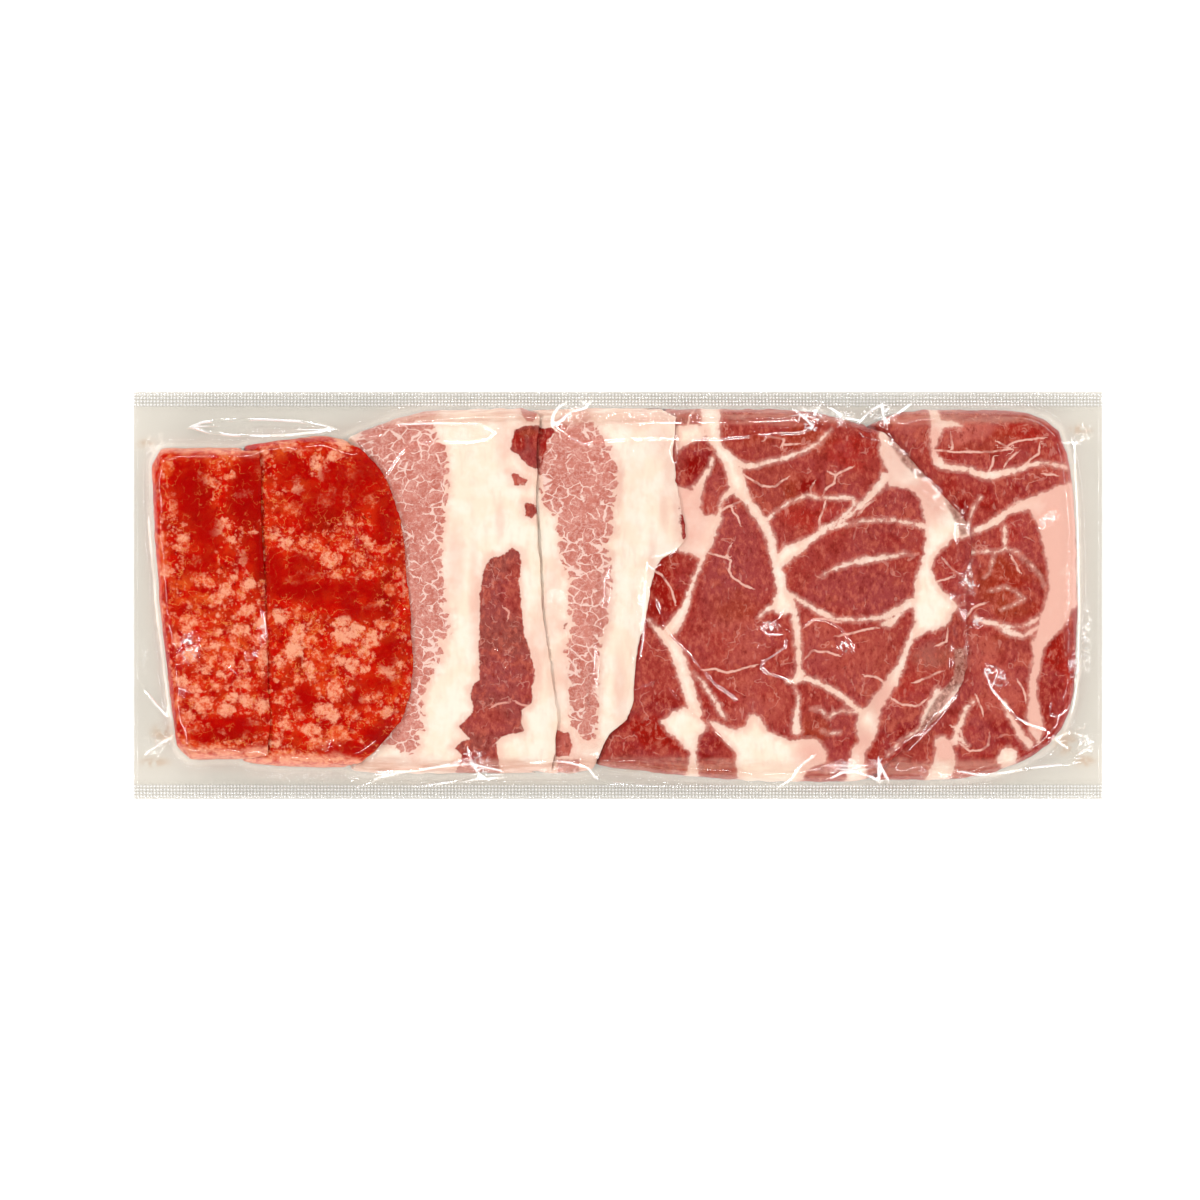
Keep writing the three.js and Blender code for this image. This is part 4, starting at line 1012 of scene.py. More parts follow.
def belly_material(look):
    """Belly fat with columns of lean bundles and darker lean patches."""
    f = Finish("sliced_pork_belly")
    coarse, fine = f.noise(2.4, 3, 0.6), f.noise(0.8, 1)
    wobble = f.math("ADD", f.math("MULTIPLY", f.math("SUBTRACT", coarse, 0.5), 2.8),
                    f.math("MULTIPLY", f.math("SUBTRACT", fine, 0.5), 0.8))
    bundle_depth = f.math("ADD", f.read("bundle_edge"), wobble)
    dark_depth = f.math("ADD", f.read("dark_edge"), f.math("MULTIPLY", wobble, 0.6))
    # bundles: cells parted by pale lines that come and go, with a finer net inside
    place = f.warped(2.6, 1.5)
    flat = f.node("Mapping", Vector=place, Scale=(0.9, 1.15, 0.25)).outputs[0]
    parting = f.cells(3.5, "DISTANCE_TO_EDGE", flat).outputs["Distance"]
    net = f.cells(1.5, "DISTANCE_TO_EDGE", flat).outputs["Distance"]
    come_and_go = f.noise(4.5, 3, 0.6)
    rim = f.step(bundle_depth, -4.5, -0.5)
    lobe = f.math("SUBTRACT", f.step(parting, 0.02, 0.22), 0.5)
    bundle = f.step(f.math("SUBTRACT", bundle_depth, f.math("MULTIPLY", lobe, 1.2)), 0.4, -0.1)
    reach = f.math("MULTIPLY", f.math("ADD", f.step(come_and_go, 0.34, 0.66), f.math("MULTIPLY", rim, 0.45)), 0.08)
    lines = f.math("MULTIPLY", f.step(f.math("DIVIDE", parting, f.math("MAXIMUM", reach, 0.001)), 1.0, 0.35),
                   f.step(reach, 0.01, 0.06))
    netting = f.math("MULTIPLY", f.step(net, 0.12, 0.0), f.step(f.noise(2.6, 2), 0.4, 0.62))
    lean = f.blend(f.step(f.noise(5, 3, 0.65), 0.36, 0.64), look.bundle, look.bundle_deep)
    lean = f.blend(f.step(f.noise(0.9, 3, 0.7), 0.45, 0.7, 0.0, 0.5), lean, look.bundle_pale)
    lean = f.blend(f.step(f.noise(1.2, 2, 0.6), 0.42, 0.3, 0.0, 0.45), lean, look.bundle_dark)
    lean = f.blend(f.math("MULTIPLY", netting, 0.38), lean, look.bundle_pale)
    lean = f.blend(f.math("MULTIPLY", lines, 0.85), lean, look.bundle_line)
    # darker lean
    dark = f.step(dark_depth, 0.22, -0.22)
    dark_lean = lean_grain(f, look, f.read_colour("lean_colour"))
    offset = f.math("ABSOLUTE", f.math("ADD", f.read("vein_offset"),
                                       f.math("MULTIPLY", f.math("SUBTRACT", coarse, 0.5), 3.0)))
    vein = f.math("MULTIPLY", f.step(offset, 1.5, 0.5), f.step(f.read("vein_near"), 1.1, 0.8))
    wisps = f.math("MULTIPLY", marbling(f, 4, 0.03, 0.2), f.step(f.noise(4, 1), 0.48, 0.6, 0.0, 0.35))
    dark_lean = f.blend(f.math("MAXIMUM", f.math("MULTIPLY", vein, 0.8), wisps), dark_lean, look.vein)
    fat = fat_colour(f, f.math("MULTIPLY", f.math("MINIMUM", bundle_depth, dark_depth), -0.8), look, f.read("blush"))
    colour = f.blend(bundle, fat, lean)
    dark = f.math("MULTIPLY", dark, f.step(f.read("pressed"), 0.0, 1.0, 1.0, 0.6))
    colour = f.blend(dark, pressed_side(f, colour, look), dark_lean)
    normal = f.bump(f.noise(1.6, 2, 0.65), 0.3, 0.5)
    return f.flesh(colour, 0.42, normal)


def spiced_material(look):
    """Coarse mince with fat, under a red marinade."""
    f = Finish("spiced_pork_mince")
    place = f.warped(1.8, 1.3)
    coarse, thick, orange = f.noise(2.0, 4, 0.65), f.read("red"), f.read("orange")
    paste = f.blend(f.step(f.noise(6, 4, 0.65), 0.38, 0.62), look.paste_deep, look.paste)
    paste = f.blend(f.math("MULTIPLY", f.step(f.noise(3.5, 4, 0.65), 0.4, 0.62),
                           f.math("ADD", 0.25, f.math("MULTIPLY", orange, 0.6))), paste, look.paste_orange)
    paste = f.blend(f.step(f.noise(2.4, 4, 0.7), 0.42, 0.28, 0.0, 0.8), paste, look.paste_dark)
    # darker marinade in the shade spots, which along the left slice's right edge are painted shade
    paste = f.blend(f.math("MULTIPLY", f.read("shade"), 0.6), paste, look.paste_dark)
    # crumbs of fat everywhere, fewer where the paste lies thick
    colour = paste
    for size, chance_low, strength, channel in ((1.2, 0.52, 0.5, 1), (2.1, 0.56, 0.7, 0), (3.4, 0.64, 0.8, 2)):
        crumbs = f.cells(size, "F1", place)
        chance = f.node("SeparateColor", Color=crumbs.outputs["Color"]).outputs[channel]
        spread_out = f.math("ADD", crumbs.outputs["Distance"],
                            f.math("MULTIPLY", f.math("SUBTRACT", coarse, 0.5), 0.9))
        there = f.step(f.math("SUBTRACT", chance, f.math("MULTIPLY", thick, 0.95)), chance_low, chance_low + 0.12)
        crumb = f.math("MULTIPLY", f.step(spread_out, 0.5, 0.2), there)
        tone = f.blend(f.step(f.noise(1.3, 3, 0.7), 0.35, 0.65), look.crumb_pale,
                       f.blend(chance, look.crumb, look.crumb_deep))
        colour = f.blend(f.math("MULTIPLY", crumb, strength), colour, tone)
    depth = f.math("ADD", f.read("piece_edge"), f.math("MULTIPLY", f.math("SUBTRACT", coarse, 0.5), 6.0))
    piece = f.step(depth, 0.6, -0.6)
    stain = f.noise(1.5, 4, 0.7)
    pale = f.step(f.math("ADD", f.math("SUBTRACT", f.read("paleness"), 0.62),
                         f.math("MULTIPLY", f.math("SUBTRACT", stain, 0.5), 2.2)), -0.3, 0.4)
    colour = f.blend(f.math("MULTIPLY", piece, f.step(thick, 0.2, 1.0, 0.9, 0.6)), colour,
                     f.blend(pale, f.blend(f.step(stain, 0.4, 0.6), look.crumb_deep, look.crumb), look.crumb_pale))
    colour = f.blend(f.step(f.noise(1.0, 3, 0.75), 0.55, 0.7, 0.0, 0.5), colour, look.paste)
    threads = f.math("MULTIPLY", marbling(f, 3.0, 0.02, 0.11), f.step(f.noise(3, 1), 0.44, 0.56, 0.0, 0.75))
    colour = f.blend(threads, colour, look.crumb_yellow)
    hollow = f.math("MULTIPLY", thick, f.step(f.noise(5, 3, 0.6), 0.35, 0.6, 0.45, 0.92))
    colour = f.blend(hollow, colour, look.paste_deep)
    wall = f.blend(f.step(stain, 0.4, 0.6), look.wall, look.crumb_pale)
    bare = f.math("MULTIPLY", f.read("fringe"), f.step(f.math("MULTIPLY", piece, f.read("paleness")), 1.4, 0.9))
    colour = f.blend(f.math("MULTIPLY", bare, f.step(f.noise(3, 3, 0.6), 0.3, 0.55, 0.35, 0.9)), colour, wall)
    normal = f.bump(f.noise(1.6, 2, 0.65), 0.4, 0.6)
    return f.flesh(colour, 0.36, normal)


def film_material(name, clear, film):
    """The outer face of clear film: see-through and shiny, with creases and a knurled seal along its long edges,
    with painted white highlights on sharp folds, crease crests and knurl tops, and painted shade in the knurls'
    hollows.
    """
    f = Finish(name)
    position = f.node("SeparateXYZ", Vector=f.place)
    across = f.math("ABSOLUTE", position.outputs["Y"])
    seal = f.math("MULTIPLY", f.step(across, *SEAL_INNER), f.step(across, *SEAL_OUTER))
    pitch = 2 * math.pi / film.knurl_pitch
    rows = [f.math("SINE", f.math("MULTIPLY", f.math(way, position.outputs["X"], position.outputs["Y"]), pitch))
            for way in ("ADD", "SUBTRACT")]
    knurl = f.math("MULTIPLY", f.math("MULTIPLY", *rows), seal)
    crumple = f.read("crumple")
    fold = f.math("ABSOLUTE", f.math("SUBTRACT", f.noise(3.6, 3, 0.55), 0.5))
    ripple = f.noise(11, 0, place=f.stretched((0.4, 1.6, 1)))
    height = f.math("MULTIPLY", fold, f.math("MULTIPLY", crumple, FOLD_DEPTH))
    height = f.math("ADD", height, f.math("MULTIPLY", ripple, RIPPLE_DEPTH))
    # a crease is a narrow ridge over its signed offset, where it is near
    beside = f.math("DIVIDE", f.read("crease_offset"), film.crease / MM)
    ridge = f.math("MAXIMUM", f.math("SUBTRACT", 1.0, f.math("MULTIPLY", beside, beside)), 0.0)
    ridge = f.math("MULTIPLY", f.math("MULTIPLY", ridge, f.step(f.read("crease_near"), 1.6, 1.2)),
                   f.read("crease_height"))
    ridge = f.math("MULTIPLY", ridge, f.step(f.noise(6, 0), 0.3, 0.55, 0.35, 1.0))
    height = f.math("ADD", height, f.math("MULTIPLY", ridge, RIDGE_DEPTH))
    normal = f.bump(f.math("ADD", height, f.math("MULTIPLY", knurl, KNURL_DEPTH)), 1.0)
    # folded film shines more than flat film
    facing_away = f.node("LayerWeight", Blend=0.5).outputs["Facing"]
    mirror = f.math("ADD", f.math("MULTIPLY", f.math("POWER", facing_away, 3.0), 0.5), film.shine)
    folded = f.math("MAXIMUM", f.step(ridge, 0.0, 0.25),
                    f.math("MULTIPLY", f.step(crumple, 0.0, 0.6), f.step(fold, 0.05, 0.01)))
    mirror = f.math("ADD", mirror, f.math("MULTIPLY", folded, film.fold_shine))
    juice = f.math("MULTIPLY", f.read("juice"), f.step(f.noise(2.4, 1), 0.35, 0.6, 0.0, 0.6))
    # painted shade: the film is tinted darker in the knurls' hollows
    tint = f.blend(f.math("MULTIPLY", f.step(knurl, 0.0, -0.6), 0.8), f.blend(juice, clear, film.juice), KNURL_HOLLOW_SHADE)
    see = f.node("BsdfTransparent", Color=tint)
    shine = f.node("BsdfAnisotropic", Color=mirror, Roughness=0.09, Normal=normal)
    both = f.node("AddShader")
    f.feed(both.inputs[0], see.outputs[0])
    f.feed(both.inputs[1], shine.outputs[0])
    # painted highlights: the sharpest folds and the crests of creases are painted white from any side, as glints,
    # and the knurls' tops get a little of the same painted white
    painted_fold_glint = f.math("MULTIPLY", f.step(f.noise(1.7, 3, 0.7), 0.5, 0.6), f.step(crumple, 0.38, 0.9))
    painted_fold_glint = f.math("MULTIPLY", painted_fold_glint, f.math("ADD", f.step(fold, 0.045, 0.01), 0.35))
    painted_crest_glint = f.math("MULTIPLY", f.step(ridge, 0.25, 0.8), 0.7)
    white = f.math("MAXIMUM", f.math("MULTIPLY", f.step(knurl, 0.05, 0.6), 0.4), f.math("MAXIMUM", painted_fold_glint, painted_crest_glint))
    painted_highlight_mix = f.node("MixShader", Fac=white)
    f.feed(painted_highlight_mix.inputs[1], both.outputs[0])
    f.feed(painted_highlight_mix.inputs[2], f.node("BsdfDiffuse", Color=PAINTED_HIGHLIGHT_WHITE).outputs[0])
    return f.surface(painted_highlight_mix)


def inner_film_material(name, clear):
    """The inner face of the film, which lies wet on the meat and doesn't shine."""
    f = Finish(name)
    return f.surface(f.node("BsdfTransparent", Color=clear))


# ---------------------------------------------------------------- settings a user would change
def colour_setting(name, description, shade):
    return FloatVectorProperty(name=name, description=description, subtype="COLOR", size=3, min=0, max=1,
                               default=shade)


def length_setting(name, description, metres):
    return FloatProperty(name=name, description=description, unit="LENGTH", subtype="DISTANCE", default=metres,
                         precision=5)


class PORKPACK_meat(bpy.types.PropertyGroup):
    """Sizes and colours of the six slices."""

    grain: length_setting("Grain", "Size of the mesh cells on the slices", 0.6 * MM)
    relief: length_setting("Relief", "How far fat stands above the lean beside it", 0.35 * MM)
    taper: length_setting("Taper", "How much thinner a slice gets at the side that lies on the next one", 2.4 * MM)
    squash: length_setting("Squash", "How far the side of a slice bulges over the next one", 1.5 * MM)
    unevenness: length_setting("Unevenness", "How far the cut faces rise and fall", 0.35 * MM)
    fat_cream: colour_setting("Fat, cream", "Fat in the middle of a wide seam", dye(255, 240, 224))
    fat_warm: colour_setting("Fat, warm", "Fat with a little yellow", dye(254, 230, 208))
    fat_pink: colour_setting("Fat, pink", "Fat beside lean", dye(238, 184, 168))
    fat_white: colour_setting("Fat, white", "Whitest flecks of the fat", dye(255, 246, 234))
    rind: colour_setting("Rim", "Dull rim of a collar slice", dye(188, 132, 118))
    rind_dark: colour_setting("Rim, dark", "Dark places on the rim", dye(130, 74, 62))
    pressed: colour_setting("Pressed side", "Sides of the belly and collar, squeezed flat", dye(226, 178, 158))
    vein: colour_setting("Vein", "Thin threads of fat in lean", dye(240, 172, 156))
    lean_mauve: colour_setting("Lean, mauve", "Cooler lean", dye(162, 68, 68))
    lean_brown: colour_setting("Lean, brown", "Warmer, browner lean", dye(158, 56, 36))
    lean_light: colour_setting("Lean, light", "Light fibres in the lean", dye(204, 104, 86))
    lean_shadow: colour_setting("Lean, shadow", "Dark pores of the lean", dye(122, 24, 18))
    bundle: colour_setting("Bundle", "Belly lean between thin lines of fat", dye(210, 134, 120))
    bundle_deep: colour_setting("Bundle, deep", "Redder belly lean", dye(196, 112, 98))
    bundle_dark: colour_setting("Bundle, dark", "Darkest grain of the belly lean", dye(170, 86, 76))
    bundle_pale: colour_setting("Bundle, pale", "Fine threads in the belly lean", dye(242, 198, 186))
    bundle_line: colour_setting("Bundle line", "Lines between the bundles", dye(250, 218, 206))
    paste: colour_setting("Marinade", "The red marinade", dye(206, 16, 0))
    paste_deep: colour_setting("Marinade, deep", "Marinade where it lies thick", dye(172, 2, 0))
    paste_dark: colour_setting("Marinade, dark", "Hollows of the marinade", dye(126, 2, 0))
    paste_orange: colour_setting("Marinade, orange", "Marinade thinned over mince", dye(226, 84, 30))
    crumb: colour_setting("Crumb", "Stained crumbs of fat", dye(238, 118, 74))
    crumb_deep: colour_setting("Crumb, deep", "Crumbs of fat with much stain", dye(222, 72, 30))
    crumb_pale: colour_setting("Crumb, pale", "Crumbs of fat with little stain", dye(248, 172, 138))
    wall: colour_setting("Squeezed side", "Side of a spiced slice, pressed flat", dye(236, 140, 116))
    crumb_yellow: colour_setting("Thread", "Yellowish threads in the mince", dye(226, 130, 70))


class PORKPACK_film(bpy.types.PropertyGroup):
    """Sizes and finish of the two webs of film."""

    cell: length_setting("Cell", "Size of the mesh cells of the cover", 0.9 * MM)
    thickness: length_setting("Thickness", "Thickness of the film", 0.12 * MM)
    gap: length_setting("Gap", "Space between the meat and the cover", 0.25 * MM)
    bend: length_setting("Bend", "Smallest radius that the cover bridges a hollow with", 3.2 * MM)
    crease: length_setting("Crease", "Half width of a standing crease", 0.5 * MM)
    knurl_pitch: length_setting("Knurl pitch", "Twice the distance between the knurls of the seal", 2.0 * MM)
    shine: FloatProperty(name="Shine", description="Share of light that a face of film reflects, seen straight on",
                         min=0, max=1, default=0.02)
    fold_shine: FloatProperty(name="Fold shine", description="Share of light that folded film reflects besides",
                              min=0, max=1, default=0.42)
    cover_tint: colour_setting("Cover tint", "What light keeps of its colour in one pass through the cover's face",
                               (0.985, 0.985, 0.98))
    base_tint: colour_setting("Base tint", "What light keeps of its colour in one pass through the base's face",
                              (0.935, 0.918, 0.892))
    juice: colour_setting("Juice", "Meat juice caught in the film", (0.88, 0.7, 0.57))


class PORKPACK_stage(bpy.types.PropertyGroup):
    """Floor, lamps and camera."""

    floor: colour_setting("Floor", "Colour of the floor", (0.9, 0.9, 0.9))
    lamp_reach: length_setting("Lamp distance", "Distance of each lamp from the middle of the pack", 1.15)
    lamp_power: FloatProperty(name="Lamp power", description="Power of each lamp in watts", min=0, default=3.4)
    softbox_height: length_setting("Softbox height", "Height of the broad light over the pack", 1.5)
    softbox_power: FloatProperty(name="Softbox power", description="Power of the broad light in watts", min=0,
                                 default=11.0)
    world: FloatProperty(name="Room light", description="Brightness of the light all round", min=0, default=0.22)


# ---------------------------------------------------------------- slices
def slice_piece(node, look):
    """A closed copy of a slice of the frame, with a fine even mesh."""
    name = SLICES[node][0]
    piece = bpy.data.objects.new(name, frame["nodes"][node].data.copy())
    piece.data.name = name
    piece.data.materials.clear()
    bpy.context.scene.collection.objects.link(piece)
    only(piece)
    bpy.ops.object.mode_set(mode="EDIT")
    bpy.ops.mesh.select_all(action="SELECT")
    bpy.ops.mesh.remove_doubles(threshold=0.001 * MM)
    bpy.ops.object.mode_set(mode="OBJECT")
    finished(piece, "REMESH", mode="VOXEL", voxel_size=look.grain, use_smooth_shade=True)
    finished(piece, "SMOOTH", factor=0.5, iterations=4)
    return piece


def height_left(places):
    """How far each point lies below the top of the meat over it."""
    grid = HeightMap(ROW_CELL)
    return np.maximum(grid.highest(places, 0.0)[grid.cells(places)] - places[:, 2], 0)


def thin_edge(places, drop):
    """Presses a slice thinner, by up to drop mm, towards the side that lies on the next slice."""
    grid = HeightMap(COARSE_CELL)
    cells = grid.cells(places)
    under, over = grid.lowest(places)[cells], grid.highest(places, 0.0)[cells]
    rows = np.round(places[:, 1] / ROW_CELL).astype(int)
    rows -= rows.min()
    right = np.full(rows.max() + 1, -NOTHING)
    np.maximum.at(right, rows, places[:, 0])
    share = np.clip((places[:, 2] - under) / np.maximum(over - under, 0.5), 0, 1)
    near = 1 - rising(right[rows] - places[:, 0], 0.0, PRESS_REACH)
    places[:, 2] -= share * near * np.minimum(drop, MOST_PRESSED * (over - under))


def fill_beside(places, normals, above):
    """Lifts the cut face where it dips just right of a slice that lies on it."""
    if not above:
        return
    grid = HeightMap(COARSE_CELL)
    top = grid.highest(places, 0.0)
    cover = np.maximum.reduce([grid.highest(points_of(upper.data), 0.0) for upper in above])
    level, near = top.copy(), cover.copy()
    for step in range(1, int(FILL_REACH / grid.cell) + 1):
        level = np.maximum(level, shifted(top, 0, -step, 0.0))
        near = np.maximum(near, shifted(cover, 0, step, 0.0))
    lift = softened(np.where(near > 0, FILL_SHARE * (level - top), 0.0), 2)
    on_top = rising(normals[:, 2], 0.0, 0.4) * (1 - rising(sampled(grid, top, places) - places[:, 2], 1.8, 4.0))
    places[:, 2] += on_top * sampled(grid, lift, places)


def relieve(piece, look, raised, above, seed):
    """Raises and roughens the cut face, and frays the sides, without touching the slice that lies on it."""
    places, normals = points_of(piece.data), facing(piece.data)
    top = rising(normals[:, 2], 0.2, 0.8)
    side = 1 - rising(np.abs(normals[:, 2]), 0.3, 0.9)
    height = raised * look.relief / MM + rough_noise(places, FACE_LUMP, seed) * look.unevenness / MM
    height = height + rough_noise(places, PORE_LUMP, seed + 5, 2) * PORE_DEPTH
    places[:, 2] += top * height
    fray = rough_noise(places, FRAY_LUMP, seed + 9) * FRAY_DEPTH
    places[:, :2] += normals[:, :2] * (side * fray)[:, None]
    if places[:, 0].max() < LAST_SLICE_END:
        squashed = rising(normals[:, 0], 0.2, 0.8) * rising(height_left(places), *SIDE_BULGE)
        squashed = squashed * (1 - rising(np.abs(places[:, 1]), *ROUND_CORNERS))
        thin_edge(places, look.taper / MM)
        places[:, 0] += squashed * look.squash / MM
    fill_beside(places, normals, above)
    grid = HeightMap(FINE_CELL)
    for upper in above:
        under = grid.lowest(points_of(upper.data))
        limit = under[grid.cells(places)] - SLICE_GAP
        lowered = np.minimum(places[:, 2], np.maximum(limit, LOWEST_FACE))
        places[:, 2] = np.where((normals[:, 2] > 0) & (limit < NOTHING / 2), lowered, places[:, 2])
    move_points(piece.data, places)
    finished(piece, "SMOOTH", factor=0.5, iterations=2)


def paint_lines(points, lines, width=None):
    """Distance to the nearest of the lines, and the signed offset over half its width."""
    near, offset = np.full(len(points), FAR_AWAY), np.full(len(points), FAR_AWAY)
    for line in lines.values():
        widths = [p[2] if width is None else width for p in line]
        places = spot([p[:2] for p in line])
        distance, beside = line_distance(points, [(place, wide * PIXEL) for place, wide in zip(places, widths)])
        offset = np.where(distance < near, beside, offset)
        near = np.minimum(near, distance)
    return near, np.clip(offset, -MOST_OFFSET, MOST_OFFSET)


def paint_areas(points, areas):
    """Signed distance to the nearest of the outlines, negative inside."""
    near = np.full(len(points), FAR_AWAY)
    for outline in areas.values():
        near = np.minimum(near, area_distance(points, spot(outline)))
    return near


def paint_tones(points, picture):
    """The lean's own colour, from the base colour and the soft spots on it."""
    solid = np.column_stack([points, np.zeros(len(points))])
    wander = np.stack([smooth_noise(solid, 6, seed) for seed in (3, 4)], 1) * TONE_WANDER
    colour = np.tile(SHADE[picture["lean"]], (len(points), 1))
    for x, y, wide, tall, shade, strength in picture["tones"]:
        share = oval_share(points + wander, x, y, wide * TONE_SPREAD, tall * TONE_SPREAD)[:, None] * strength
        colour = colour * (1 - share) + np.array(SHADE[shade]) * share
    return colour


def paint_spots(points, spots):
    """The share of each soft spot, all together."""
    total = np.zeros(len(points))
    for entry in spots:
        total = np.maximum(total, oval_share(points, *entry[:4], edge=0.8))
    return total


def finish_piece(piece, material, node):
    if material:
        piece.data.materials.append(material)
    only(piece)
    bpy.ops.object.shade_smooth()
    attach(piece, "root")
    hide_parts(node)


class PORKPACK_OT_spiced(bpy.types.Operator):
    """Makes the two slices of spiced mince"""

    bl_idname = "porkpack.spiced"
    bl_label = "Spiced slices"

    def execute(self, context):
        look = context.scene.porkpack_meat
        material = spiced_material(look)
        above = []
        for seed, node in ((11, "spiced_slice_left"), (12, "spiced_slice_right")):
            picture = SLICES[node][1]
            piece = slice_piece(node, look)
            points = points_of(piece.data)[:, :2]
            edge, paleness = np.full(len(points), FAR_AWAY), np.zeros(len(points))
            for x, y, half_length, half_width, turn, pale in picture["pieces"]:
                reach = oval_reach(points, x, y, half_length, half_width, turn)
                away = (reach - PIECE_REACH) * min(half_length, half_width) * PIXEL
                paleness = np.where(away < edge, pale, paleness)
                edge = np.minimum(edge, away)
            paint(piece.data, "piece_edge", edge)
            paint(piece.data, "paleness", paleness)
            # the sides, squeezed flat and pale, show beyond the cut face
            far, close = picture["fringe"]
            down = picture_row(points) + 4 * smooth_noise(points_of(piece.data), 4, seed)
            paint(piece.data, "fringe", np.maximum(1 - rising(down, far - 3, far + 3),
                                                   rising(down, close - 3, close + 3)))
            paint(piece.data, "shade", paint_spots(points, picture["shade"]))
            paint(piece.data, "red", np.sqrt(paint_spots(points, picture["red"])))
            paint(piece.data, "orange", paint_spots(points, picture["orange"]))
            relieve(piece, look, rising(-edge, -0.6, 0.6) * 0.8, above, seed)
            finish_piece(piece, material, node)
            above.append(piece)
        return {"FINISHED"}


def paint_cut_face(piece, picture, kind):
    """Paints seams, veins, tones and marbling on a slice, and gives back how much of it is raised fat."""
    points = points_of(piece.data)[:, :2]
    near, offset = paint_lines(points, picture["veins"], VEIN_WIDTH)
    paint(piece.data, "vein_near", near)
    paint(piece.data, "vein_offset", offset)
    paint(piece.data, "lean_colour", paint_tones(points, picture))
    paint(piece.data, "marbling", np.full(len(points), float(picture["marbling"])))
    paint(piece.data, "blush", paint_spots(points, picture["blush"]) * picture["blushing"])
    down = picture_row(points) + 3 * smooth_noise(points_of(piece.data), 6, 31)
    pressed = np.maximum(1 - rising(down, *PRESSED_ABOVE), rising(down, *PRESSED_BELOW))
    paint(piece.data, "pressed", pressed * picture["pressed"])
    if kind == "collar":
        paint(piece.data, "rind_edge", paint_areas(points, picture.get("rind", {})))
        fat = np.minimum(paint_lines(points, picture["seams"])[0] + 0.2, paint_areas(points, picture["fat"]))
        paint(piece.data, "fat_edge", fat)
        return rising(-fat, -0.5, 0.9)
    bundles, dark = paint_areas(points, picture["columns"]), paint_areas(points, picture["dark"])
    paint(piece.data, "bundle_edge", bundles)
    paint(piece.data, "dark_edge", dark)
    return rising(np.minimum(bundles, dark), -0.4, 0.8)


def make_cut_slices(look, kind, material, seed):
    above = [bpy.data.objects[SLICES[n][0]] for n in SLICES if SLICES[n][0] in bpy.data.objects]
    for number, side in enumerate(("left", "right")):
        node = f"{kind}_slice_{side}"
        piece = slice_piece(node, look)
        raised = paint_cut_face(piece, SLICES[node][1], kind)
        relieve(piece, look, raised, above, seed + number * 20)
        finish_piece(piece, material, node)
        above.append(piece)


class PORKPACK_OT_belly(bpy.types.Operator):
    """Makes the two slices of belly"""

    bl_idname = "porkpack.belly"
    bl_label = "Belly slices"

    def execute(self, context):
        look = context.scene.porkpack_meat
        make_cut_slices(look, "belly", belly_material(look), 100)
        return {"FINISHED"}


class PORKPACK_OT_collar(bpy.types.Operator):
    """Makes the two slices of collar"""

    bl_idname = "porkpack.collar"
    bl_label = "Collar slices"

    def execute(self, context):
        look = context.scene.porkpack_meat
        make_cut_slices(look, "collar", cut_face_material(look), 200)
        return {"FINISHED"}


# ---------------------------------------------------------------- film
def grid_sheet(name, node, cell, inset):
    """A flat grid as large as a web of the frame."""
    low, high = (np.array(corner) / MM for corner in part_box(node))
    wide, deep = high[0] - low[0] - 2 * inset, high[1] - low[1] - 2 * inset
    columns, rows = round(wide * MM / cell), round(deep * MM / cell)
    bpy.ops.object.select_all(action="DESELECT")
    bpy.ops.mesh.primitive_grid_add(x_subdivisions=columns, y_subdivisions=rows, size=1, location=(0, 0, 0))
    sheet = bpy.context.object
    sheet.name = sheet.data.name = name
    places = points_of(sheet.data)
    places *= np.array([wide, deep, 0]) * MM
    places[:, 0] += (low[0] + high[0]) / 2
    places[:, 1] += (low[1] + high[1]) / 2
    return sheet, places


def shrink_over(heights, cell, radius):
    """What a film pulled down on the heights takes up, when it bends no tighter than radius in a hollow."""
    reach = int(radius / cell)
    steps = [(r, c, math.sqrt(radius ** 2 - (r * r + c * c) * cell ** 2))
             for r in range(-reach, reach + 1) for c in range(-reach, reach + 1)
             if (r * r + c * c) * cell ** 2 <= radius ** 2]
    lowest = heights.min()
    lifted = np.full_like(heights, lowest)
    for rows, columns, rise in steps:
        lifted = np.maximum(lifted, shifted(heights, rows, columns, lowest) + rise)
    settled = np.full_like(heights, NOTHING)
    for rows, columns, rise in steps:
        settled = np.minimum(settled, shifted(lifted, rows, columns, NOTHING) - rise)
    return settled


def softened(heights, passes):
    """Heights with small steps evened out."""
    for _ in range(passes):
        padded = np.pad(heights, 1, mode="edge")
        heights = (4 * heights + padded[:-2, 1:-1] + padded[2:, 1:-1] + padded[1:-1, :-2] + padded[1:-1, 2:]) / 8
    return heights


def sampled(grid, heights, places):
    """Heights between the cells of a grid."""
    column = np.clip((places[:, 0] - grid.low[0]) / grid.cell, 0, grid.shape[1] - 1.001)
    row = np.clip((places[:, 1] - grid.low[1]) / grid.cell, 0, grid.shape[0] - 1.001)
    c, r = column.astype(int), row.astype(int)
    u, v = column - c, row - r
    return (heights[r, c] * (1 - u) * (1 - v) + heights[r, c + 1] * u * (1 - v)
            + heights[r + 1, c] * (1 - u) * v + heights[r + 1, c + 1] * u * v)


def clothe_film(web, film, clear, side):
    """Gives a web its thickness, a shiny outer face and a plain inner one."""
    outer, inner = film_material(web.name, clear, film), inner_film_material(web.name + "_inside", clear)
    web.data.materials.append(outer)
    web.data.materials.append(inner)
    finished(web, "SOLIDIFY", thickness=film.thickness, offset=side, material_offset=1)


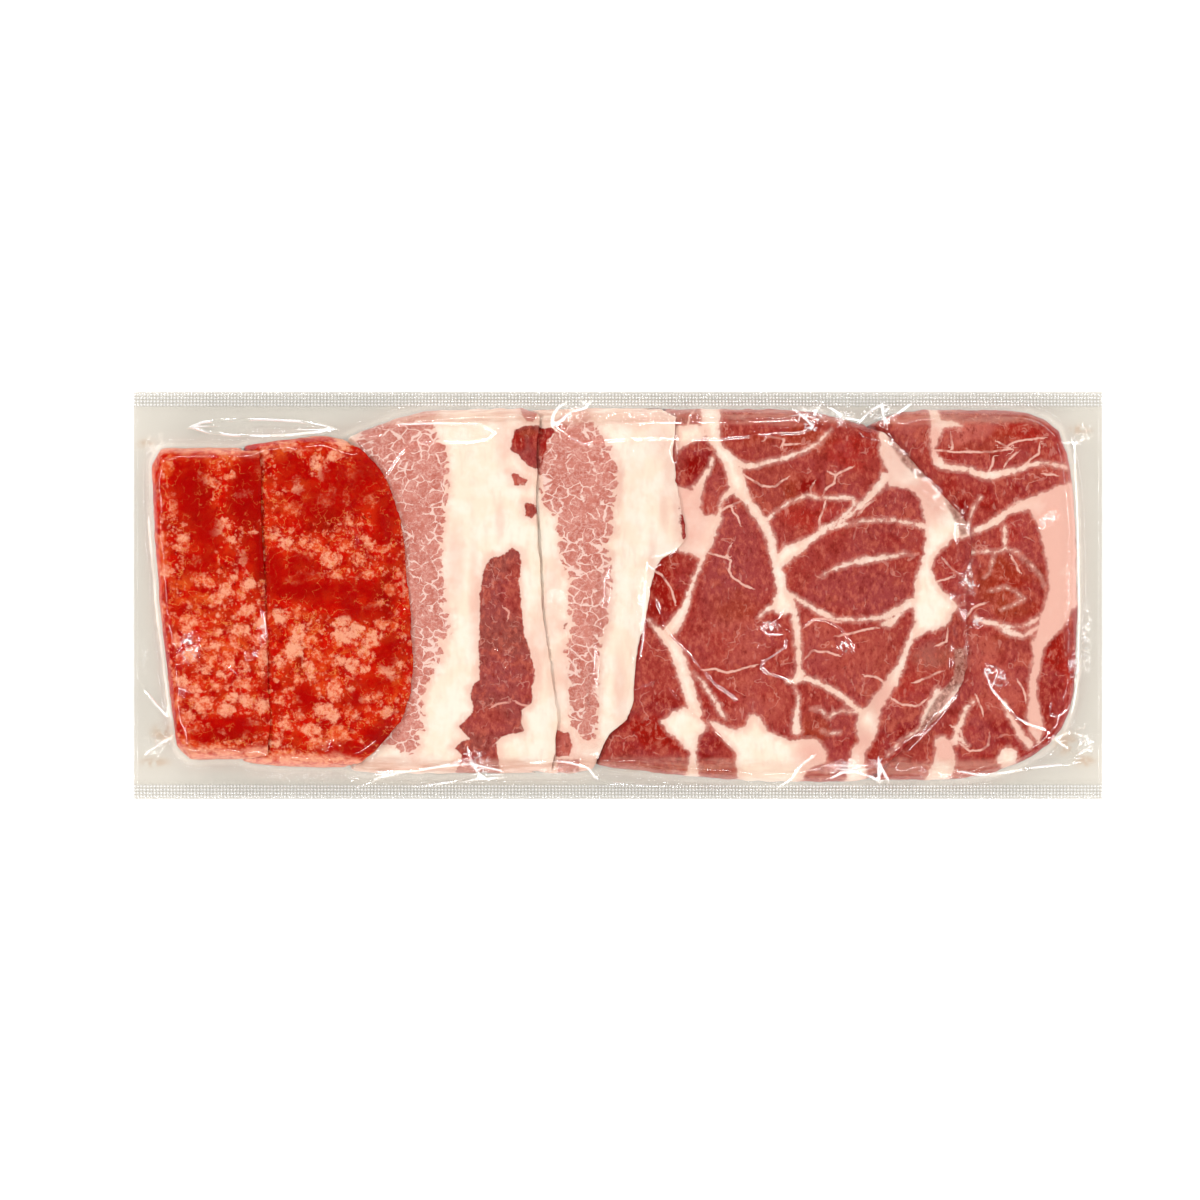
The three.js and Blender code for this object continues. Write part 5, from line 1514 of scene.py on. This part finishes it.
class PORKPACK_OT_film(bpy.types.Operator):
    """Makes the cover and the base of clear film"""

    bl_idname = "porkpack.film"
    bl_label = "Film"

    def execute(self, context):
        film = context.scene.porkpack_film
        thickness, gap = film.thickness / MM, film.gap / MM
        base, places = grid_sheet("clear_film_base", "film_base_web", BASE_CELL * MM, BASE_INSET)
        places[:, 2] = BASE_HEIGHT + BASE_RIPPLE * rough_noise(places, 14, 7)
        move_points(base.data, places)
        for name, value in (("juice", 0.0), ("crumple", 0.0), ("crease_height", 0.0), ("crease_near", FAR_AWAY),
                            ("crease_offset", FAR_AWAY)):
            paint(base.data, name, np.full(len(places), value))
        clothe_film(base, film, film.base_tint, 1.0)
        finish_piece(base, None, "film_base_web")

        cover, places = grid_sheet("clear_film_cover", "film_cover_web", film.cell, COVER_INSET)
        grid = HeightMap(FINE_CELL)
        meat = np.concatenate([points_of(bpy.data.objects[SLICES[n][0]].data) for n in SLICES])
        heights = grid.highest(meat, FLANGE_HEIGHT)
        heights = softened(shrink_over(heights, grid.cell, film.bend / MM), 3)
        places[:, 2] = sampled(grid, heights, places) + gap + thickness
        flat = places[:, :2]
        edge = np.minimum(HALF_PACK[0] - np.abs(places[:, 0]), HALF_PACK[1] - np.abs(places[:, 1]))
        off_seal = rising(edge, 2.0, 6.0)
        # creases stand up where the film has length to spare
        near, beside, rise = np.full(len(flat), FAR_AWAY), np.full(len(flat), FAR_AWAY), np.zeros(len(flat))
        for height, line in CREASES.values():
            distance, offset = line_distance(flat, [(place, 0.02) for place in spot(line, FILM_HEIGHT)])
            closer = distance < near
            near, beside = np.where(closer, distance, near), np.where(closer, offset * 0.01, beside)
            rise = np.where(closer, height, rise)
        crumple = np.zeros(len(flat))
        for x, y, half_length, half_width, turn, height in CRUMPLES:
            crumple = np.maximum(crumple, oval_share(flat, x, y, half_length, half_width, turn, 0.8) * height)
        crumpled = crumple * np.abs(rough_noise(places, CRUMPLE_LUMP, 41, 2)) * CRUMPLE_RISE
        wave = 0.25 + 0.35 * rough_noise(places * np.array([0.5, 1.6, 1]), 8, 47)
        flange_wave = (1 - rising(places[:, 2], 0.9, 2.5)) * wave
        creased = CREASE_RISE * rise * np.exp(-(near / CREASE_WIDTH) ** 2)
        places[:, 2] += off_seal * (creased + crumpled) + rising(edge, 0.5, 5.0) * np.maximum(flange_wave, 0)
        move_points(cover.data, places)
        paint(cover.data, "crumple", np.clip(crumple, 0, 1) * off_seal)
        paint(cover.data, "crease_near", near)
        paint(cover.data, "crease_offset", beside)
        paint(cover.data, "crease_height", rise * off_seal)
        juice = np.zeros(len(flat))
        for x, y, wide, tall in JUICE:
            juice = np.maximum(juice, oval_share(flat, x, y, wide, tall, 0, 0.8))
        paint(cover.data, "juice", juice)
        clothe_film(cover, film, film.cover_tint, -1.0)
        finish_piece(cover, None, "film_cover_web")
        return {"FINISHED"}


# ---------------------------------------------------------------- stage
class PORKPACK_OT_stage(bpy.types.Operator):
    """Makes the floor, the lamps and the camera"""

    bl_idname = "porkpack.stage"
    bl_label = "Stage"

    def execute(self, context):
        stage, scene = context.scene.porkpack_stage, context.scene
        bpy.ops.object.select_all(action="DESELECT")
        bpy.ops.mesh.primitive_plane_add(size=FLOOR_SIDE, location=(0, 0, 0))
        floor = bpy.context.object
        floor.name = "floor"
        f = Finish("pale_floor")
        tint = f.blend(f.step(f.noise(60, 2), 0.3, 0.7, 0.0, 0.03), stage.floor, FLOOR_CLOUD)
        f.surface(f.node("BsdfPrincipled", Base_Color=tint, Roughness=0.8, Specular_IOR_Level=0.1))
        floor.data.materials.append(f.material)

        for number in range(LAMP_COUNT):
            turn = math.radians(360 / LAMP_COUNT * number + FIRST_LAMP_TURN)
            lean = math.radians(LAMP_LEANS[number % 2])
            lamp = bpy.data.lights.new(f"lamp_{number}", "AREA")
            lamp.shape, lamp.energy = "RECTANGLE", stage.lamp_power
            lamp.size, lamp.size_y = LAMP_SIZE
            lamp.cycles.max_bounces = LAMP_BOUNCES
            holder = bpy.data.objects.new(lamp.name, lamp)
            scene.collection.objects.link(holder)
            way = (math.sin(lean) * math.sin(turn), -math.sin(lean) * math.cos(turn), math.cos(lean))
            holder.location = stage.lamp_reach * Vector(way)
            holder.rotation_euler = (lean, 0, turn)

        # a broad soft light from above, which lights the meat and isn't mirrored in the flat film
        softbox = bpy.data.lights.new("softbox", "AREA")
        softbox.shape, softbox.size, softbox.energy = "SQUARE", SOFTBOX_SIDE, stage.softbox_power
        holder = bpy.data.objects.new(softbox.name, softbox)
        scene.collection.objects.link(holder)
        holder.location = (0, 0, stage.softbox_height)
        holder.visible_glossy = False
        softbox.cycles.max_bounces = SOFTBOX_BOUNCES

        world = bpy.data.worlds.new("room")
        world.use_nodes = True
        background = world.node_tree.nodes["Background"]
        background.inputs["Color"].default_value = (1, 1, 1, 1)
        background.inputs["Strength"].default_value = stage.world
        # the room's even light isn't mirrored, so that flat film stays clear
        world.cycles_visibility.glossy = False
        scene.world = world
        scene.view_settings.view_transform = "Standard"

        lens = bpy.data.cameras.new("camera")
        lens.sensor_width = SENSOR_WIDTH
        lens.lens = SENSOR_WIDTH * CAMERA_HEIGHT / VIEW_WIDTH
        lens.clip_start, lens.clip_end = 0.01, 20
        camera = bpy.data.objects.new("camera", lens)
        scene.collection.objects.link(camera)
        camera.location = (AIM[0] * MM, AIM[1] * MM, CAMERA_HEIGHT * MM)
        scene.camera = camera
        return {"FINISHED"}


class PORKPACK_PT_panel(bpy.types.Panel):
    """Lists the parts of the pack and their settings"""

    bl_idname = "PORKPACK_PT_panel"
    bl_label = "Pork pack"
    bl_space_type = "VIEW_3D"
    bl_region_type = "UI"
    bl_category = "Pork pack"

    def draw(self, context):
        for operator in OPERATORS:
            self.layout.operator(operator.bl_idname)
        for group in GROUPS:
            box = self.layout.box()
            settings = getattr(context.scene, group)
            for name in settings.bl_rna.properties.keys():
                if name not in ("rna_type", "name"):
                    box.prop(settings, name)


GROUPS = {"porkpack_meat": PORKPACK_meat, "porkpack_film": PORKPACK_film, "porkpack_stage": PORKPACK_stage}
OPERATORS = (PORKPACK_OT_spiced, PORKPACK_OT_belly, PORKPACK_OT_collar, PORKPACK_OT_film, PORKPACK_OT_stage)


def register():
    for item in (*GROUPS.values(), *OPERATORS, PORKPACK_PT_panel):
        bpy.utils.register_class(item)
    for name, group in GROUPS.items():
        setattr(bpy.types.Scene, name, PointerProperty(type=group))


def unregister():
    for name in GROUPS:
        delattr(bpy.types.Scene, name)
    for item in (PORKPACK_PT_panel, *OPERATORS, *GROUPS.values()):
        bpy.utils.unregister_class(item)


def main():
    register()
    bpy.ops.porkpack.spiced()
    bpy.ops.porkpack.belly()
    bpy.ops.porkpack.collar()
    bpy.ops.porkpack.film()
    bpy.ops.porkpack.stage()


if __name__ == "__main__":
    main()
